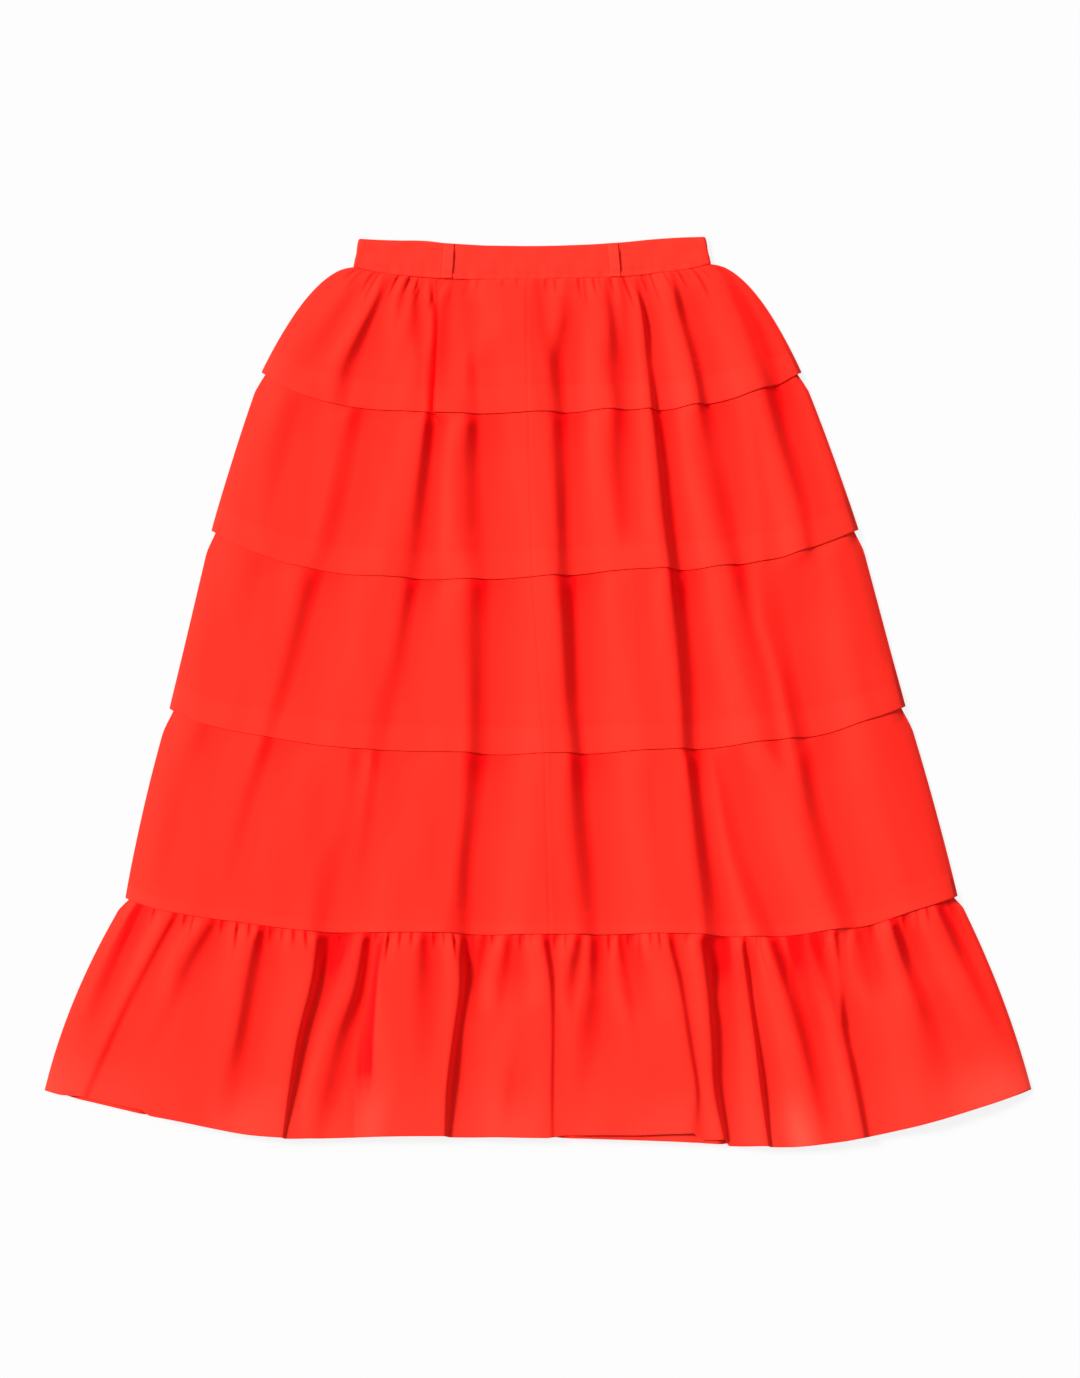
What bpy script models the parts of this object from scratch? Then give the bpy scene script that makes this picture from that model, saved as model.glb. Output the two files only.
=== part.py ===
"""A tiered ruffle skirt, laid flat on its back.

The skirt lies in the XY plane with its waist towards +Y and its front facing up (+Z).  X runs to the
wearer's left, which is the right-hand side as seen from above.  Sizes are in metres.

Two coordinates describe every point of the cloth:
    across   -1 at the left side edge, 0 in the middle, +1 at the right side edge
    down      0 at the waistband's top edge, 1 at the waist seam, 2 to 5 at the hems of tiers 1 to 4,
              6 at the hem of the ruffle
Each tier is a tube: a left and a right front panel, joined by a seam down the middle, and one back panel.
The top of each tier lies under the hem flap of the tier above it.  On the back everything is pressed flat.
"""

import math

import bpy
import numpy as np

# ---------------------------------------------------------------- driving sizes
CLOTH = 0.0012            # wall of a cloth panel
BAND_WALL = 0.0020        # wall of the waistband, which is folded double over a stiffener
SEAM_GAP = 0.0003         # between two pieces that are sewn together
LAYER = CLOTH + SEAM_GAP  # from one lying layer's middle to the next one's

FLAP = 0.026              # how far a tier's hem flap hangs below the stitches that hold the next tier
RUFFLE_FLAP = 0.012       # the same over the ruffle, which is sewn on nearer the hem
FLAP_LIFT = 0.0010        # how far a flap's edge stands off the tier below it
SIDE_STEP = 0.0045        # how far a tier's top lies inside the hem corner above it
EMERGE = 0.12             # share of its length over which a tier comes out from under that hem at the sides
SIDE_TURN = 0.0030        # width of the turned-down edge at the sides
WAIST_TURN = 0.02         # share of tier 1 that stays level below the waist seam
SIDE_ROUND = 0.022        # the front rises from the side edge to its full height over about this width

BACK_MIDDLE = CLOTH / 2                          # height of the back's middle surface where it rests
FRONT_FLOOR = BACK_MIDDLE + 2 * LAYER            # height of the front where a valley is at its deepest
CROWN = 0.0125                                   # height of the front's soft lobes above that floor
RUFFLE_CROWN = 0.0140                            # the same at the top of the ruffle
RUFFLE_HEM_CROWN = 0.0100                        # and at its hem
WAIST_CROWN = 0.0016                             # and where the gathers leave the waist seam
WAIST_SWELL = 0.018                              # it swells to its full height over about this length
BAND_ARCH = 0.0020                               # the waistband's front is this much higher in the middle

BACK_STANDS_UP = 0.0015   # how far the back of the band shows above the front

LOOP_WIDTH = 0.010        # belt loop
LOOP_RISE = 0.0016        # how far its middle stands off the band
LOOP_FOOT = 0.004         # length of each sewn-down end
LOOP_SLOPE = 0.005        # length over which it rises from there
LOOP_PLACES = (-0.48, 0.47)

CLOTH_COLOUR = (0.93, 0.045, 0.027, 1.0)

# ---------------------------------------------------------------- lines across the skirt
# A row is one line: where it starts and ends, and its height on the page at each station across.
STATIONS = (-1.0, -0.9, -0.75, -0.5, -0.25, 0.0, 0.25, 0.5, 0.75, 0.9, 1.0)
LINE_COLUMNS = ("name", "left", "right", "y")
LINES = [dict(zip(LINE_COLUMNS, row)) for row in (
    ("waist_top", -0.1780, 0.1660,
     (0.4510, 0.4500, 0.4490, 0.4465, 0.4440, 0.4435, 0.4445, 0.4470, 0.4510, 0.4525, 0.4530)),
    ("waist_seam", -0.1830, 0.1715,
     (0.4250, 0.4205, 0.4167, 0.4134, 0.4120, 0.4123, 0.4134, 0.4150, 0.4195, 0.4235, 0.4280)),
    ("tier1_hem", -0.2760, 0.2630,
     (0.3190, 0.3020, 0.2880, 0.2800, 0.2775, 0.2790, 0.2815, 0.2840, 0.2945, 0.3075, 0.3190)),
    ("tier2_hem", -0.3260, 0.3200,
     (0.1610, 0.1440, 0.1270, 0.1155, 0.1135, 0.1155, 0.1220, 0.1245, 0.1350, 0.1500, 0.1620)),
    ("tier3_hem", -0.3680, 0.3670,
     (-0.0170, -0.0320, -0.0435, -0.0560, -0.0590, -0.0605, -0.0580, -0.0525, -0.0410, -0.0270, -0.0145)),
    ("tier4_hem", -0.4120, 0.4190,
     (-0.2060, -0.2180, -0.2275, -0.2385, -0.2390, -0.2410, -0.2395, -0.2415, -0.2335, -0.2165, -0.2040)),
    ("ruffle_hem", -0.4930, 0.4930,
     (-0.3980, -0.4090, -0.4255, -0.4445, -0.4425, -0.4440, -0.4475, -0.4530, -0.4340, -0.4130, -0.3970)),
)]
WAIST_SEAM, TIER4_HEM, RUFFLE_HEM = 1, 5, 6

# How far each side edge bows out between two lines: the amount, and the power that shapes it.  Tier 1
# leaves the waistband almost level and then turns down; the other tiers' sides are simple bows.
BOW_COLUMNS = ("down", "left", "right", "power")
BOWS = [dict(zip(BOW_COLUMNS, row)) for row in (
    (1, 0.0925, 0.0925, 0.54),
    (2, 0.0070, 0.0070, None),
    (4, 0.0120, 0.0080, None),
    (5, 0.0350, 0.0240, None),
)]
BOW_REACH = 8             # power of "across": a bow is felt near the side edges only
STEP_REACH = 40           # the same for the step at a tier's top

# Where the seam down the middle of the front lies, at the waist seam and at each hem below it.
CENTRE_SEAM = (-0.030, -0.013, -0.009, 0.018, 0.020, 0.034)

# ---------------------------------------------------------------- folds of tiers 1 to 4
# A fold is a valley that runs down the skirt.  "across" gives its place at the waist seam and at the four
# hems, "walls" the widths of its left and right walls, "lap" how far its steep side leans over it (+ the
# left side leans right, - the right side leans left), and "depths" its depth at the top and hem of each
# tier, from 0 to 1.
FOLD_COLUMNS = ("name", "across", "walls", "lap", "depths")
FOLDS = [dict(zip(FOLD_COLUMNS, row)) for row in (
    ("left_hip", (-0.925, -0.874, -0.860, -0.885, -0.915), (0.016, 0.026), 0.000,
     ((0.15, 0.15), (0.30, 0.20), (0.20, 0.10), (0.12, 0.05))),
    ("left_side", (-0.802, -0.672, -0.676, -0.733, -0.770), (0.009, 0.020), 0.004,
     ((0.70, 0.30), (0.40, 0.35), (0.65, 0.35), (0.60, 0.10))),
    ("left_pleat", (-0.580, -0.380, -0.382, -0.438, -0.446), (0.017, 0.008), -0.004,
     ((0.75, 0.75), (0.95, 0.35), (0.40, 0.25), (0.35, 0.05))),
    ("left_middle", (-0.351, -0.213, -0.183, -0.173, -0.203), (0.012, 0.014), 0.000,
     ((0.10, 0.30), (0.60, 0.35), (0.80, 0.65), (0.95, 0.40))),
    ("centre", (0.075, 0.093, 0.093, 0.105, 0.124), (0.011, 0.015), 0.003,
     ((0.15, 0.75), (0.90, 0.75), (1.00, 0.80), (1.00, 0.50))),
    ("right_middle", (0.416, 0.313, 0.276, 0.257, 0.250), (0.010, 0.014), 0.000,
     ((0.60, 0.35), (0.40, 0.25), (0.15, 0.05), (0.05, 0.10))),
    ("right_deep", (0.574, 0.453, 0.430, 0.420, 0.412), (0.009, 0.021), 0.005,
     ((0.90, 0.90), (1.00, 0.95), (1.00, 0.90), (1.00, 0.80))),
    ("right_side", (0.776, 0.637, 0.620, 0.632, 0.552), (0.008, 0.016), 0.004,
     ((0.80, 0.60), (0.75, 0.60), (0.60, 0.25), (0.25, 0.40))),
    ("right_branch", (0.880, 0.750, 0.708, 0.706, 0.736), (0.009, 0.018), 0.004,
     ((0.00, 0.00), (0.10, 0.25), (0.40, 0.65), (0.90, 0.25))),
    ("right_hip", (0.978, 0.884, 0.856, 0.850, 0.860), (0.008, 0.018), 0.004,
     ((0.75, 0.40), (0.85, 0.40), (0.40, 0.10), (0.10, 0.05))),
)]

# Short gathers under the waist seam: place across, length down the cloth, depth.
GATHER_COLUMNS = ("across", "length", "depth")
WAIST_GATHERS = [dict(zip(GATHER_COLUMNS, row)) for row in (
    (-0.925, 0.022, 0.55), (-0.870, 0.028, 0.65), (-0.772, 0.020, 0.55), (-0.716, 0.048, 0.75),
    (-0.655, 0.062, 0.85), (-0.615, 0.018, 0.50), (-0.530, 0.016, 0.60), (-0.490, 0.030, 0.50),
    (-0.455, 0.055, 0.65), (-0.415, 0.018, 0.50), (-0.300, 0.014, 0.35), (-0.160, 0.012, 0.30),
    (0.045, 0.030, 0.40), (0.180, 0.034, 0.45), (0.260, 0.016, 0.40), (0.330, 0.020, 0.45),
    (0.460, 0.016, 0.50), (0.500, 0.034, 0.65), (0.540, 0.018, 0.50), (0.630, 0.018, 0.55),
    (0.675, 0.030, 0.60), (0.730, 0.018, 0.50), (0.840, 0.022, 0.55), (0.905, 0.034, 0.65),
)]
GATHER_WALL = 0.0042      # width of each wall of a short gather
GATHER_DRIFT = 0.12       # gathers slant in towards the middle on their way down, by this share

# ---------------------------------------------------------------- folds of the ruffle
# "across" and "depths" are given at the ruffle's top, a third of the way down, two thirds down, and at
# its hem.
RUFFLE_COLUMNS = ("name", "across", "walls", "lap", "depths")
RUFFLE_THIRDS = (0.0, 1 / 3, 2 / 3, 1.0)
RUFFLE_FOLDS = [dict(zip(RUFFLE_COLUMNS, row)) for row in (
    ("side_soft_left", (-0.970, -0.955, -0.945, -0.940), (0.008, 0.012), 0.000, (0.80, 0.45, 0.20, 0.05)),
    ("lap_left", (-0.877, -0.884, -0.894, -0.905), (0.012, 0.005), -0.006, (0.75, 0.40, 0.40, 0.40)),
    ("short_a", (-0.788, -0.826, -0.850, -0.860), (0.006, 0.010), 0.000, (0.80, 0.35, 0.00, 0.00)),
    ("long_a", (-0.670, -0.660, -0.640, -0.615), (0.007, 0.013), 0.003, (0.85, 0.60, 0.55, 0.25)),
    ("deep_a", (-0.539, -0.513, -0.520, -0.514), (0.006, 0.018), 0.009, (0.90, 0.95, 0.95, 0.95)),
    ("deep_b", (-0.418, -0.424, -0.433, -0.434), (0.013, 0.011), -0.003, (0.85, 0.90, 0.85, 0.30)),
    ("lap_a", (-0.372, -0.378, -0.368, -0.357), (0.009, 0.005), -0.005, (0.15, 0.25, 0.35, 0.30)),
    ("soft_a", (-0.283, -0.265, -0.254, -0.250), (0.008, 0.011), 0.000, (0.65, 0.25, 0.12, 0.05)),
    ("deep_c", (-0.194, -0.173, -0.172, -0.176), (0.007, 0.015), 0.010, (0.95, 1.00, 0.95, 0.90)),
    ("soft_b", (-0.085, -0.092, -0.080, -0.070), (0.007, 0.010), 0.000, (0.70, 0.25, 0.15, 0.10)),
    ("centre_seam", (0.020, 0.030, 0.034, 0.034), (0.008, 0.007), -0.004, (0.80, 0.55, 0.40, 0.40)),
    ("soft_c", (0.119, 0.113, 0.116, 0.120), (0.007, 0.010), 0.000, (0.85, 0.40, 0.20, 0.10)),
    ("soft_d", (0.193, 0.197, 0.208, 0.215), (0.007, 0.010), 0.000, (0.75, 0.40, 0.20, 0.10)),
    ("lap_b", (0.298, 0.324, 0.336, 0.327), (0.006, 0.008), 0.006, (0.75, 0.55, 0.50, 0.50)),
    ("deep_d", (0.405, 0.393, 0.385, 0.386), (0.007, 0.019), 0.009, (1.00, 1.00, 1.00, 0.95)),
    ("deep_e", (0.487, 0.480, 0.472, 0.466), (0.006, 0.010), 0.007, (0.85, 0.85, 0.90, 0.90)),
    ("long_b", (0.549, 0.578, 0.592, 0.576), (0.007, 0.017), 0.005, (0.90, 0.90, 0.80, 0.45)),
    ("short_b", (0.640, 0.648, 0.645, 0.645), (0.005, 0.008), 0.000, (0.75, 0.50, 0.00, 0.00)),
    ("deep_f", (0.711, 0.685, 0.678, 0.665), (0.006, 0.013), 0.008, (0.85, 0.85, 0.85, 0.85)),
    ("short_c", (0.758, 0.750, 0.745, 0.742), (0.006, 0.009), 0.000, (0.75, 0.25, 0.00, 0.00)),
    ("long_c", (0.840, 0.845, 0.846, 0.848), (0.007, 0.015), 0.003, (0.90, 0.70, 0.25, 0.00)),
    ("side_right", (0.944, 0.958, 0.966, 0.972), (0.006, 0.010), 0.003, (0.90, 0.60, 0.20, 0.00)),
)]

# Short gathers between those folds, all along the ruffle's top.
RUFFLE_GATHERS = [dict(zip(GATHER_COLUMNS, row)) for row in (
    (-0.925, 0.020, 0.50), (-0.832, 0.016, 0.45), (-0.728, 0.028, 0.65), (-0.628, 0.014, 0.45),
    (-0.590, 0.020, 0.50), (-0.480, 0.020, 0.50), (-0.330, 0.022, 0.60), (-0.240, 0.018, 0.50),
    (-0.145, 0.036, 0.70), (-0.045, 0.018, 0.50), (0.070, 0.026, 0.65), (0.156, 0.018, 0.55),
    (0.237, 0.024, 0.60), (0.268, 0.014, 0.45), (0.350, 0.016, 0.45), (0.444, 0.020, 0.50),
    (0.595, 0.020, 0.55), (0.675, 0.016, 0.45), (0.805, 0.018, 0.50), (0.900, 0.020, 0.50),
)]

CREST = 0.0022            # a steep wall carries a low crest of this height beside it
CREST_WALL = 0.016        # with sides this wide
LAP_REACH = 0.030         # a lapping edge draws cloth after it from this far
LAP_START = 0.20          # under the waistband and tier 4, laps begin over this share of the length

# ---------------------------------------------------------------- the pressed back
# Its creases are all alike: places across at the top and at the hem of the skirt.
BACK_CREASES = ((-0.72, -0.76), (-0.46, -0.43), (-0.19, -0.22), (0.10, 0.07), (0.37, 0.41), (0.68, 0.73))
BACK_CREASE = LAYER       # how far a crease rises off the ground
BACK_CREASE_WALL = 0.010
BACK_FADE = 0.25          # creases fade over this share of a tier, towards its top and its stitch line
BACK_GATHERS = 22         # along the waist and again along the ruffle
BACK_GATHER_WALL = 0.006
BACK_GATHER_SPAN = 0.93   # how far across they reach
BACK_GATHER_FADE = 0.6    # they fade over this share of the tier

# ---------------------------------------------------------------- where the walls have their points
# Lines down a panel besides its edges and its stitch line, as shares of the tier's length.
FRONT_LINES = {
    "top": (WAIST_TURN, 0.07, 0.15, 0.30, 0.55),
    "middle": (EMERGE, 0.45),
    "ruffle": (EMERGE / 2, EMERGE, 0.33, 0.52, 0.75),
}
BACK_LINES = {
    "top": (WAIST_TURN, EMERGE, 0.45),
    "middle": (EMERGE, 0.5),
    "ruffle": (EMERGE, 0.40, 0.72),
}
WALL_POINTS = (0.5, 1.0)  # columns on each side of a fold, as shares of its walls
BACK_COLUMNS = (-0.97, -0.5, 0.0, 0.5, 0.97)
BACK_FILL = 2.5           # the back's columns may be this many times further apart than the front's
BAND_COLUMNS = 17
SEAM_SIDE = 0.0025        # from the centre seam to the nearest column on each side of it
FILL_WIDTH = 0.034        # no two columns of a panel are further apart than this
CROWDED = 0.0015          # and none are nearer to each other than this
FADED = 0.03              # a fold shallower than this has no columns
SHARPEST = 0.9            # keeps the wall from growing thick where it is folded sharply
SMOOTH_ANGLE = math.radians(50)


# ---------------------------------------------------------------- curves
def curve_through(stations, values, at):
    """Values of a smooth curve through the given points, without overshoot between them."""
    x, y, at = np.asarray(stations, float), np.asarray(values, float), np.asarray(at, float)
    step = np.diff(x)
    slope = np.diff(y) / step
    tangent = np.empty_like(y)
    tangent[0], tangent[-1] = slope[0], slope[-1]
    same_way = slope[:-1] * slope[1:] > 0
    weight = (step[1:] + 2 * step[:-1], step[:-1] + 2 * step[1:])
    with np.errstate(divide="ignore", invalid="ignore"):
        harmonic = (weight[0] + weight[1]) / (weight[0] / slope[:-1] + weight[1] / slope[1:])
    tangent[1:-1] = np.where(same_way, harmonic, 0.0)
    i = np.clip(np.searchsorted(x, at, side="right") - 1, 0, len(step) - 1)
    t = np.clip((at - x[i]) / step[i], 0, 1)
    return (y[i] * (1 + 2 * t) * (1 - t) ** 2 + y[i + 1] * t * t * (3 - 2 * t)
            + step[i] * (tangent[i] * t * (1 - t) ** 2 - tangent[i + 1] * t * t * (1 - t)))


def bump(distance, left, right):
    """1 at distance 0, falling smoothly to 0 at -left and at +right."""
    reach = np.where(distance < 0, left, right)
    return 0.5 + 0.5 * np.cos(np.pi * np.clip(np.abs(distance) / reach, 0, 1))


def ease(t):
    """0 up to 0, 1 from 1 on, and smooth between."""
    t = np.clip(t, 0, 1)
    return t * t * (3 - 2 * t)


# ---------------------------------------------------------------- the plan: where cloth lies in X and Y
def half_width(down):
    """Half the skirt's width at one line, without the bow of its sides."""
    return 0.5 * np.interp(down, range(len(LINES)), [line["right"] - line["left"] for line in LINES])


def bow(down):
    """How far the left and right side edges bow out at one line."""
    for row in BOWS:
        f = down - row["down"]
        if 0 <= f <= 1:
            shape = f * (1 - f) if row["power"] is None else f ** row["power"] - f
            return row["left"] * shape, row["right"] * shape
    return 0.0, 0.0


def plan(across, down):
    """X and Y of points across the skirt at one line down it."""
    upper = min(int(down), len(LINES) - 2)
    f = down - upper
    a, b = LINES[upper], LINES[upper + 1]
    left = a["left"] + f * (b["left"] - a["left"])
    right = a["right"] + f * (b["right"] - a["right"])
    bow_left, bow_right = bow(down)
    x = left + (right - left) * (across + 1) / 2
    x = x + np.where(across < 0, -bow_left, bow_right) * np.abs(across) ** BOW_REACH
    y = (1 - f) * curve_through(STATIONS, a["y"], across) + f * curve_through(STATIONS, b["y"], across)
    return x, y


def band_height(tier):
    """Length of a tier from its top line to its hem, down the middle."""
    middle = STATIONS.index(0.0)
    return LINES[tier]["y"][middle] - LINES[tier + 1]["y"][middle]


def flap_of(tier):
    """The hem flap's share of a tier's own length."""
    width = RUFFLE_FLAP if tier + 1 == TIER4_HEM else FLAP
    return width / band_height(tier)


# ---------------------------------------------------------------- the heights of the front
def fold_across(fold, down):
    """Where a fold of tiers 1 to 4 lies across, at one line."""
    return np.interp(down, range(WAIST_SEAM, TIER4_HEM + 1), fold["across"])


def ruffle_across(fold, down):
    """The same for a fold of the ruffle."""
    return np.interp(down - TIER4_HEM, RUFFLE_THIRDS, fold["across"])


def valleys_of(tier, down):
    """The valleys that cross one line of a tier: (place across, walls, lap, depth)."""
    f = min(max(down - tier, 0.0), 1.0)
    sewn_down = tier in (WAIST_SEAM, TIER4_HEM)
    lapping = ease(f / LAP_START) if sewn_down else 1.0
    found = []
    if tier == TIER4_HEM:
        for fold in RUFFLE_FOLDS:
            depth = np.interp(f, RUFFLE_THIRDS, fold["depths"])
            found.append((ruffle_across(fold, down), fold["walls"], fold["lap"] * lapping, depth))
        gathers, drift = RUFFLE_GATHERS, 0.0
    else:
        for fold in FOLDS:
            top, hem = fold["depths"][tier - WAIST_SEAM]
            depth = top + f * (hem - top)
            found.append((fold_across(fold, down), fold["walls"], fold["lap"] * lapping, depth))
        gathers, drift = (WAIST_GATHERS if tier == WAIST_SEAM else []), GATHER_DRIFT
    for gather in gathers:
        fade = 1 - ease(f * band_height(tier) / gather["length"])
        walls = (GATHER_WALL, GATHER_WALL)
        found.append((gather["across"] * (1 - drift * f), walls, 0.0, gather["depth"] * fade))
    return found


def crown_of(tier, down):
    """Height of the lobes above the floor at one line of a tier."""
    f = min(max(down - tier, 0.0), 1.0)
    if tier == WAIST_SEAM:
        below = max(f - WAIST_TURN, 0.0) * band_height(tier)
        return WAIST_CROWN + (CROWN - WAIST_CROWN) * (1 - math.exp(-below / WAIST_SWELL))
    if tier == TIER4_HEM:
        return RUFFLE_CROWN + (RUFFLE_HEM_CROWN - RUFFLE_CROWN) * f
    return CROWN


def side_height(tier, down):
    """Height of the back's middle surface at its side edges: a tier's top lies on the hem flap of the one
    above."""
    lift = LAYER if tier > WAIST_SEAM else 0.0
    return BACK_MIDDLE + lift * (1 - min(max(down - tier, 0.0) / EMERGE, 1.0))


def floor_of(tier, down):
    """Height of the front's lowest places at one line: it steps up where the hem flap lies on the next
    tier."""
    if tier == TIER4_HEM:
        return FRONT_FLOOR
    flap = flap_of(tier)
    f = down - tier
    on_flap = ease((f - (1 - 2 * flap)) / flap)
    lifted = ease((f - (1 - flap)) / flap)
    return FRONT_FLOOR + LAYER * on_flap + FLAP_LIFT * lifted


def own_surface(tier, across, down):
    """(sideways shift, height) of a front tier by its own folds, at one line."""
    width = half_width(down)
    edge = (1 - np.abs(across)) * width
    rise = 1 - np.exp(-np.maximum(edge - SIDE_TURN, 0) / SIDE_ROUND)
    crown = crown_of(tier, down)
    body = crown * rise
    shift = np.zeros(np.shape(across))
    crest = np.zeros(np.shape(across))
    for place, (left, right), lap, depth in valleys_of(tier, down):
        s = (across - place) * width
        body = body * (1 - depth * bump(s, left, right))
        if lap > 0:
            shift += lap * depth * bump(s + left, LAP_REACH, left)
            crest += CREST * depth * bump(s + left, CREST_WALL, left)
        if lap < 0:
            shift += lap * depth * bump(s - right, right, LAP_REACH)
            crest += CREST * depth * bump(s - right, right, CREST_WALL)
    height = floor_of(tier, down) + body + crest * rise * crown / CROWN
    turned = side_height(tier, down) + LAYER
    return shift * rise, turned + (height - turned) * ease(edge / SIDE_TURN)


def step_in(tier, across, down):
    """How far points are drawn in towards the middle, at the sides of a tier's top."""
    if tier == WAIST_SEAM:
        return 0.0
    over = EMERGE if tier < TIER4_HEM else EMERGE / 2
    share = 1 - min(max(down - tier, 0.0) / over, 1.0)
    return SIDE_STEP * share * np.sign(across) * np.abs(across) ** STEP_REACH


def cloth_normals(x, z):
    """Upward normals of a row of points, seen end on, as long as it takes to shift both neighbouring
    stretches by one unit."""
    run = np.stack([np.diff(x), np.diff(z)], axis=1)
    square = np.stack([-run[:, 1], run[:, 0]], axis=1) / np.linalg.norm(run, axis=1, keepdims=True)
    before, after = np.vstack([square[:1], square]), np.vstack([square, square[-1:]])
    normal = (before + after) / np.maximum(1 + np.sum(before * after, axis=1, keepdims=True), SHARPEST)
    return normal[:, 0], normal[:, 1]


def make_row(x, y, z, across, trail=None):
    """One row of middle-surface points: x, y, z, across, trail, normal x, normal z.  The trail is what a
    point keeps as its fold wanders across on its way down, and tells which points of two rows belong
    together."""
    return np.stack([x, y, z, across, across if trail is None else trail, *cloth_normals(x, z)], axis=1)


def trail_of(across, down):
    """Where the cloth at these places is on the ruffle's seam line, if it is followed along the folds."""
    if down <= TIER4_HEM:
        now = [fold_across(fold, down) for fold in FOLDS]
        then = [fold["across"][-1] for fold in FOLDS]
    else:
        now = [ruffle_across(fold, down) for fold in RUFFLE_FOLDS]
        then = [fold["across"][0] for fold in RUFFLE_FOLDS]
    return np.interp(across, [-1, *now, 1], [-1, *then, 1])


def front_row(tier, down):
    """A front tier's row at one line.  Down to its top line it hangs under the flap of the tier above, and
    follows that flap's folds."""
    if tier > WAIST_SEAM and down <= tier:
        above = front_row(tier - 1, down)
        across = above[:, 3]
        if tier == TIER4_HEM:
            across = spread(across, fold_marks(tier, float(tier)), half_width(down))
        x = np.interp(across, above[:, 3], above[:, 0] - LAYER * above[:, 5])
        height = np.interp(across, above[:, 3], above[:, 2] - LAYER * above[:, 6])
        if down == tier:
            height = np.minimum(height, own_surface(tier, across, down)[1])
        x[0], x[-1] = above[0, 0], above[-1, 0]
        height[0] = height[-1] = side_height(tier, down) + LAYER
        y = np.interp(across, above[:, 3], above[:, 1])
    else:
        across = columns_of(tier, down)
        shift, height = own_surface(tier, across, down)
        x, y = plan(across, down)
        x = x + shift
    return make_row(x - step_in(tier, across, down), y, height, across, trail_of(across, down))


# ---------------------------------------------------------------- columns: where a panel has its points
def seam_across(down):
    return np.interp(down, range(WAIST_SEAM, RUFFLE_HEM + 1), CENTRE_SEAM)


def spread(kept, wished, width):
    """Columns at every kept mark and at the wished ones that don't crowd another, with more between where
    two are far apart."""
    kept = sorted(kept)
    marks = list(kept)
    for mark in wished:
        if -1 < mark < 1 and min(abs(mark - other) for other in marks) * width > CROWDED:
            marks.append(mark)
    marks.sort()
    columns = [marks[0]]
    for mark in marks[1:]:
        extra = int((mark - columns[-1]) * width / FILL_WIDTH)
        columns += [columns[-1] + (mark - columns[-1]) * i / (extra + 1) for i in range(1, extra + 1)]
        columns.append(mark)
    return np.array(columns)


def fixed_marks(down):
    """The side edges, where they turn down, and the centre seam with a point close by on each side."""
    width = half_width(down)
    seam = float(seam_across(down))
    turn, close = SIDE_TURN / width, SEAM_SIDE / width
    return [-1.0, -1 + turn, seam - close, seam, seam + close, 1 - turn, 1.0]


def fold_marks(tier, down):
    """Places across that a front tier's folds and gathers need at one line."""
    width = half_width(down)
    f = max(down - tier, 0.0)
    if tier == TIER4_HEM:
        folds = [(ruffle_across(fold, down), fold["walls"]) for fold in RUFFLE_FOLDS
                 if np.interp(f, RUFFLE_THIRDS, fold["depths"]) > FADED]
        gathers, drift = RUFFLE_GATHERS, 0.0
    else:
        folds = [(fold_across(fold, down), fold["walls"]) for fold in FOLDS]
        gathers, drift = (WAIST_GATHERS if tier == WAIST_SEAM else []), GATHER_DRIFT
    marks = []
    for place, (left, right) in folds:
        marks.append(place)
        for share in reversed(WALL_POINTS):
            marks += [place - share * left / width, place + share * right / width]
    for gather in gathers:
        if f * band_height(tier) < gather["length"]:
            place = gather["across"] * (1 - drift * f)
            marks += [place + s / width for s in (0.0, -GATHER_WALL, GATHER_WALL)]
    return marks


def columns_of(tier, down):
    """Where a front tier has points at one line."""
    return spread(fixed_marks(down), fold_marks(tier, down), half_width(down))


def lines_down(tier, lines):
    """The lines at which a panel has points, from its top edge, hidden under the flap above, to its hem."""
    kind = {WAIST_SEAM: "top", TIER4_HEM: "ruffle"}.get(tier, "middle")
    found = [float(tier), *(tier + share for share in lines[kind])]
    if tier > WAIST_SEAM:
        found.insert(0, tier - flap_of(tier - 1))
    if tier < TIER4_HEM:
        found.append(tier + 1 - flap_of(tier))
    return [*found, tier + 1.0]


# ---------------------------------------------------------------- making the objects
def clear_scene():
    for obj in list(bpy.data.objects):
        bpy.data.objects.remove(obj)


def cloth_material():
    material = bpy.data.materials.new("crepe_cloth")
    material.use_nodes = True
    shader = material.node_tree.nodes["Principled BSDF"]
    shader.inputs["Base Color"].default_value = CLOTH_COLOUR
    shader.inputs["Roughness"].default_value = 0.85
    shader.inputs["Metallic"].default_value = 0.0
    return material


def zip_faces(first, upper, lower):
    """Triangles between two rows of points whose columns needn't match, numbered from "first"."""
    faces, i, j = [], 0, 0
    while i < len(upper) - 1 or j < len(lower) - 1:
        a, b = first + i, first + len(upper) + j
        if i < len(upper) - 1 and (j == len(lower) - 1 or upper[i + 1, 4] <= lower[j + 1, 4]):
            faces.append((a, b, a + 1))
            i += 1
        else:
            faces.append((a, b, b + 1))
            j += 1
    return faces


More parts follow.
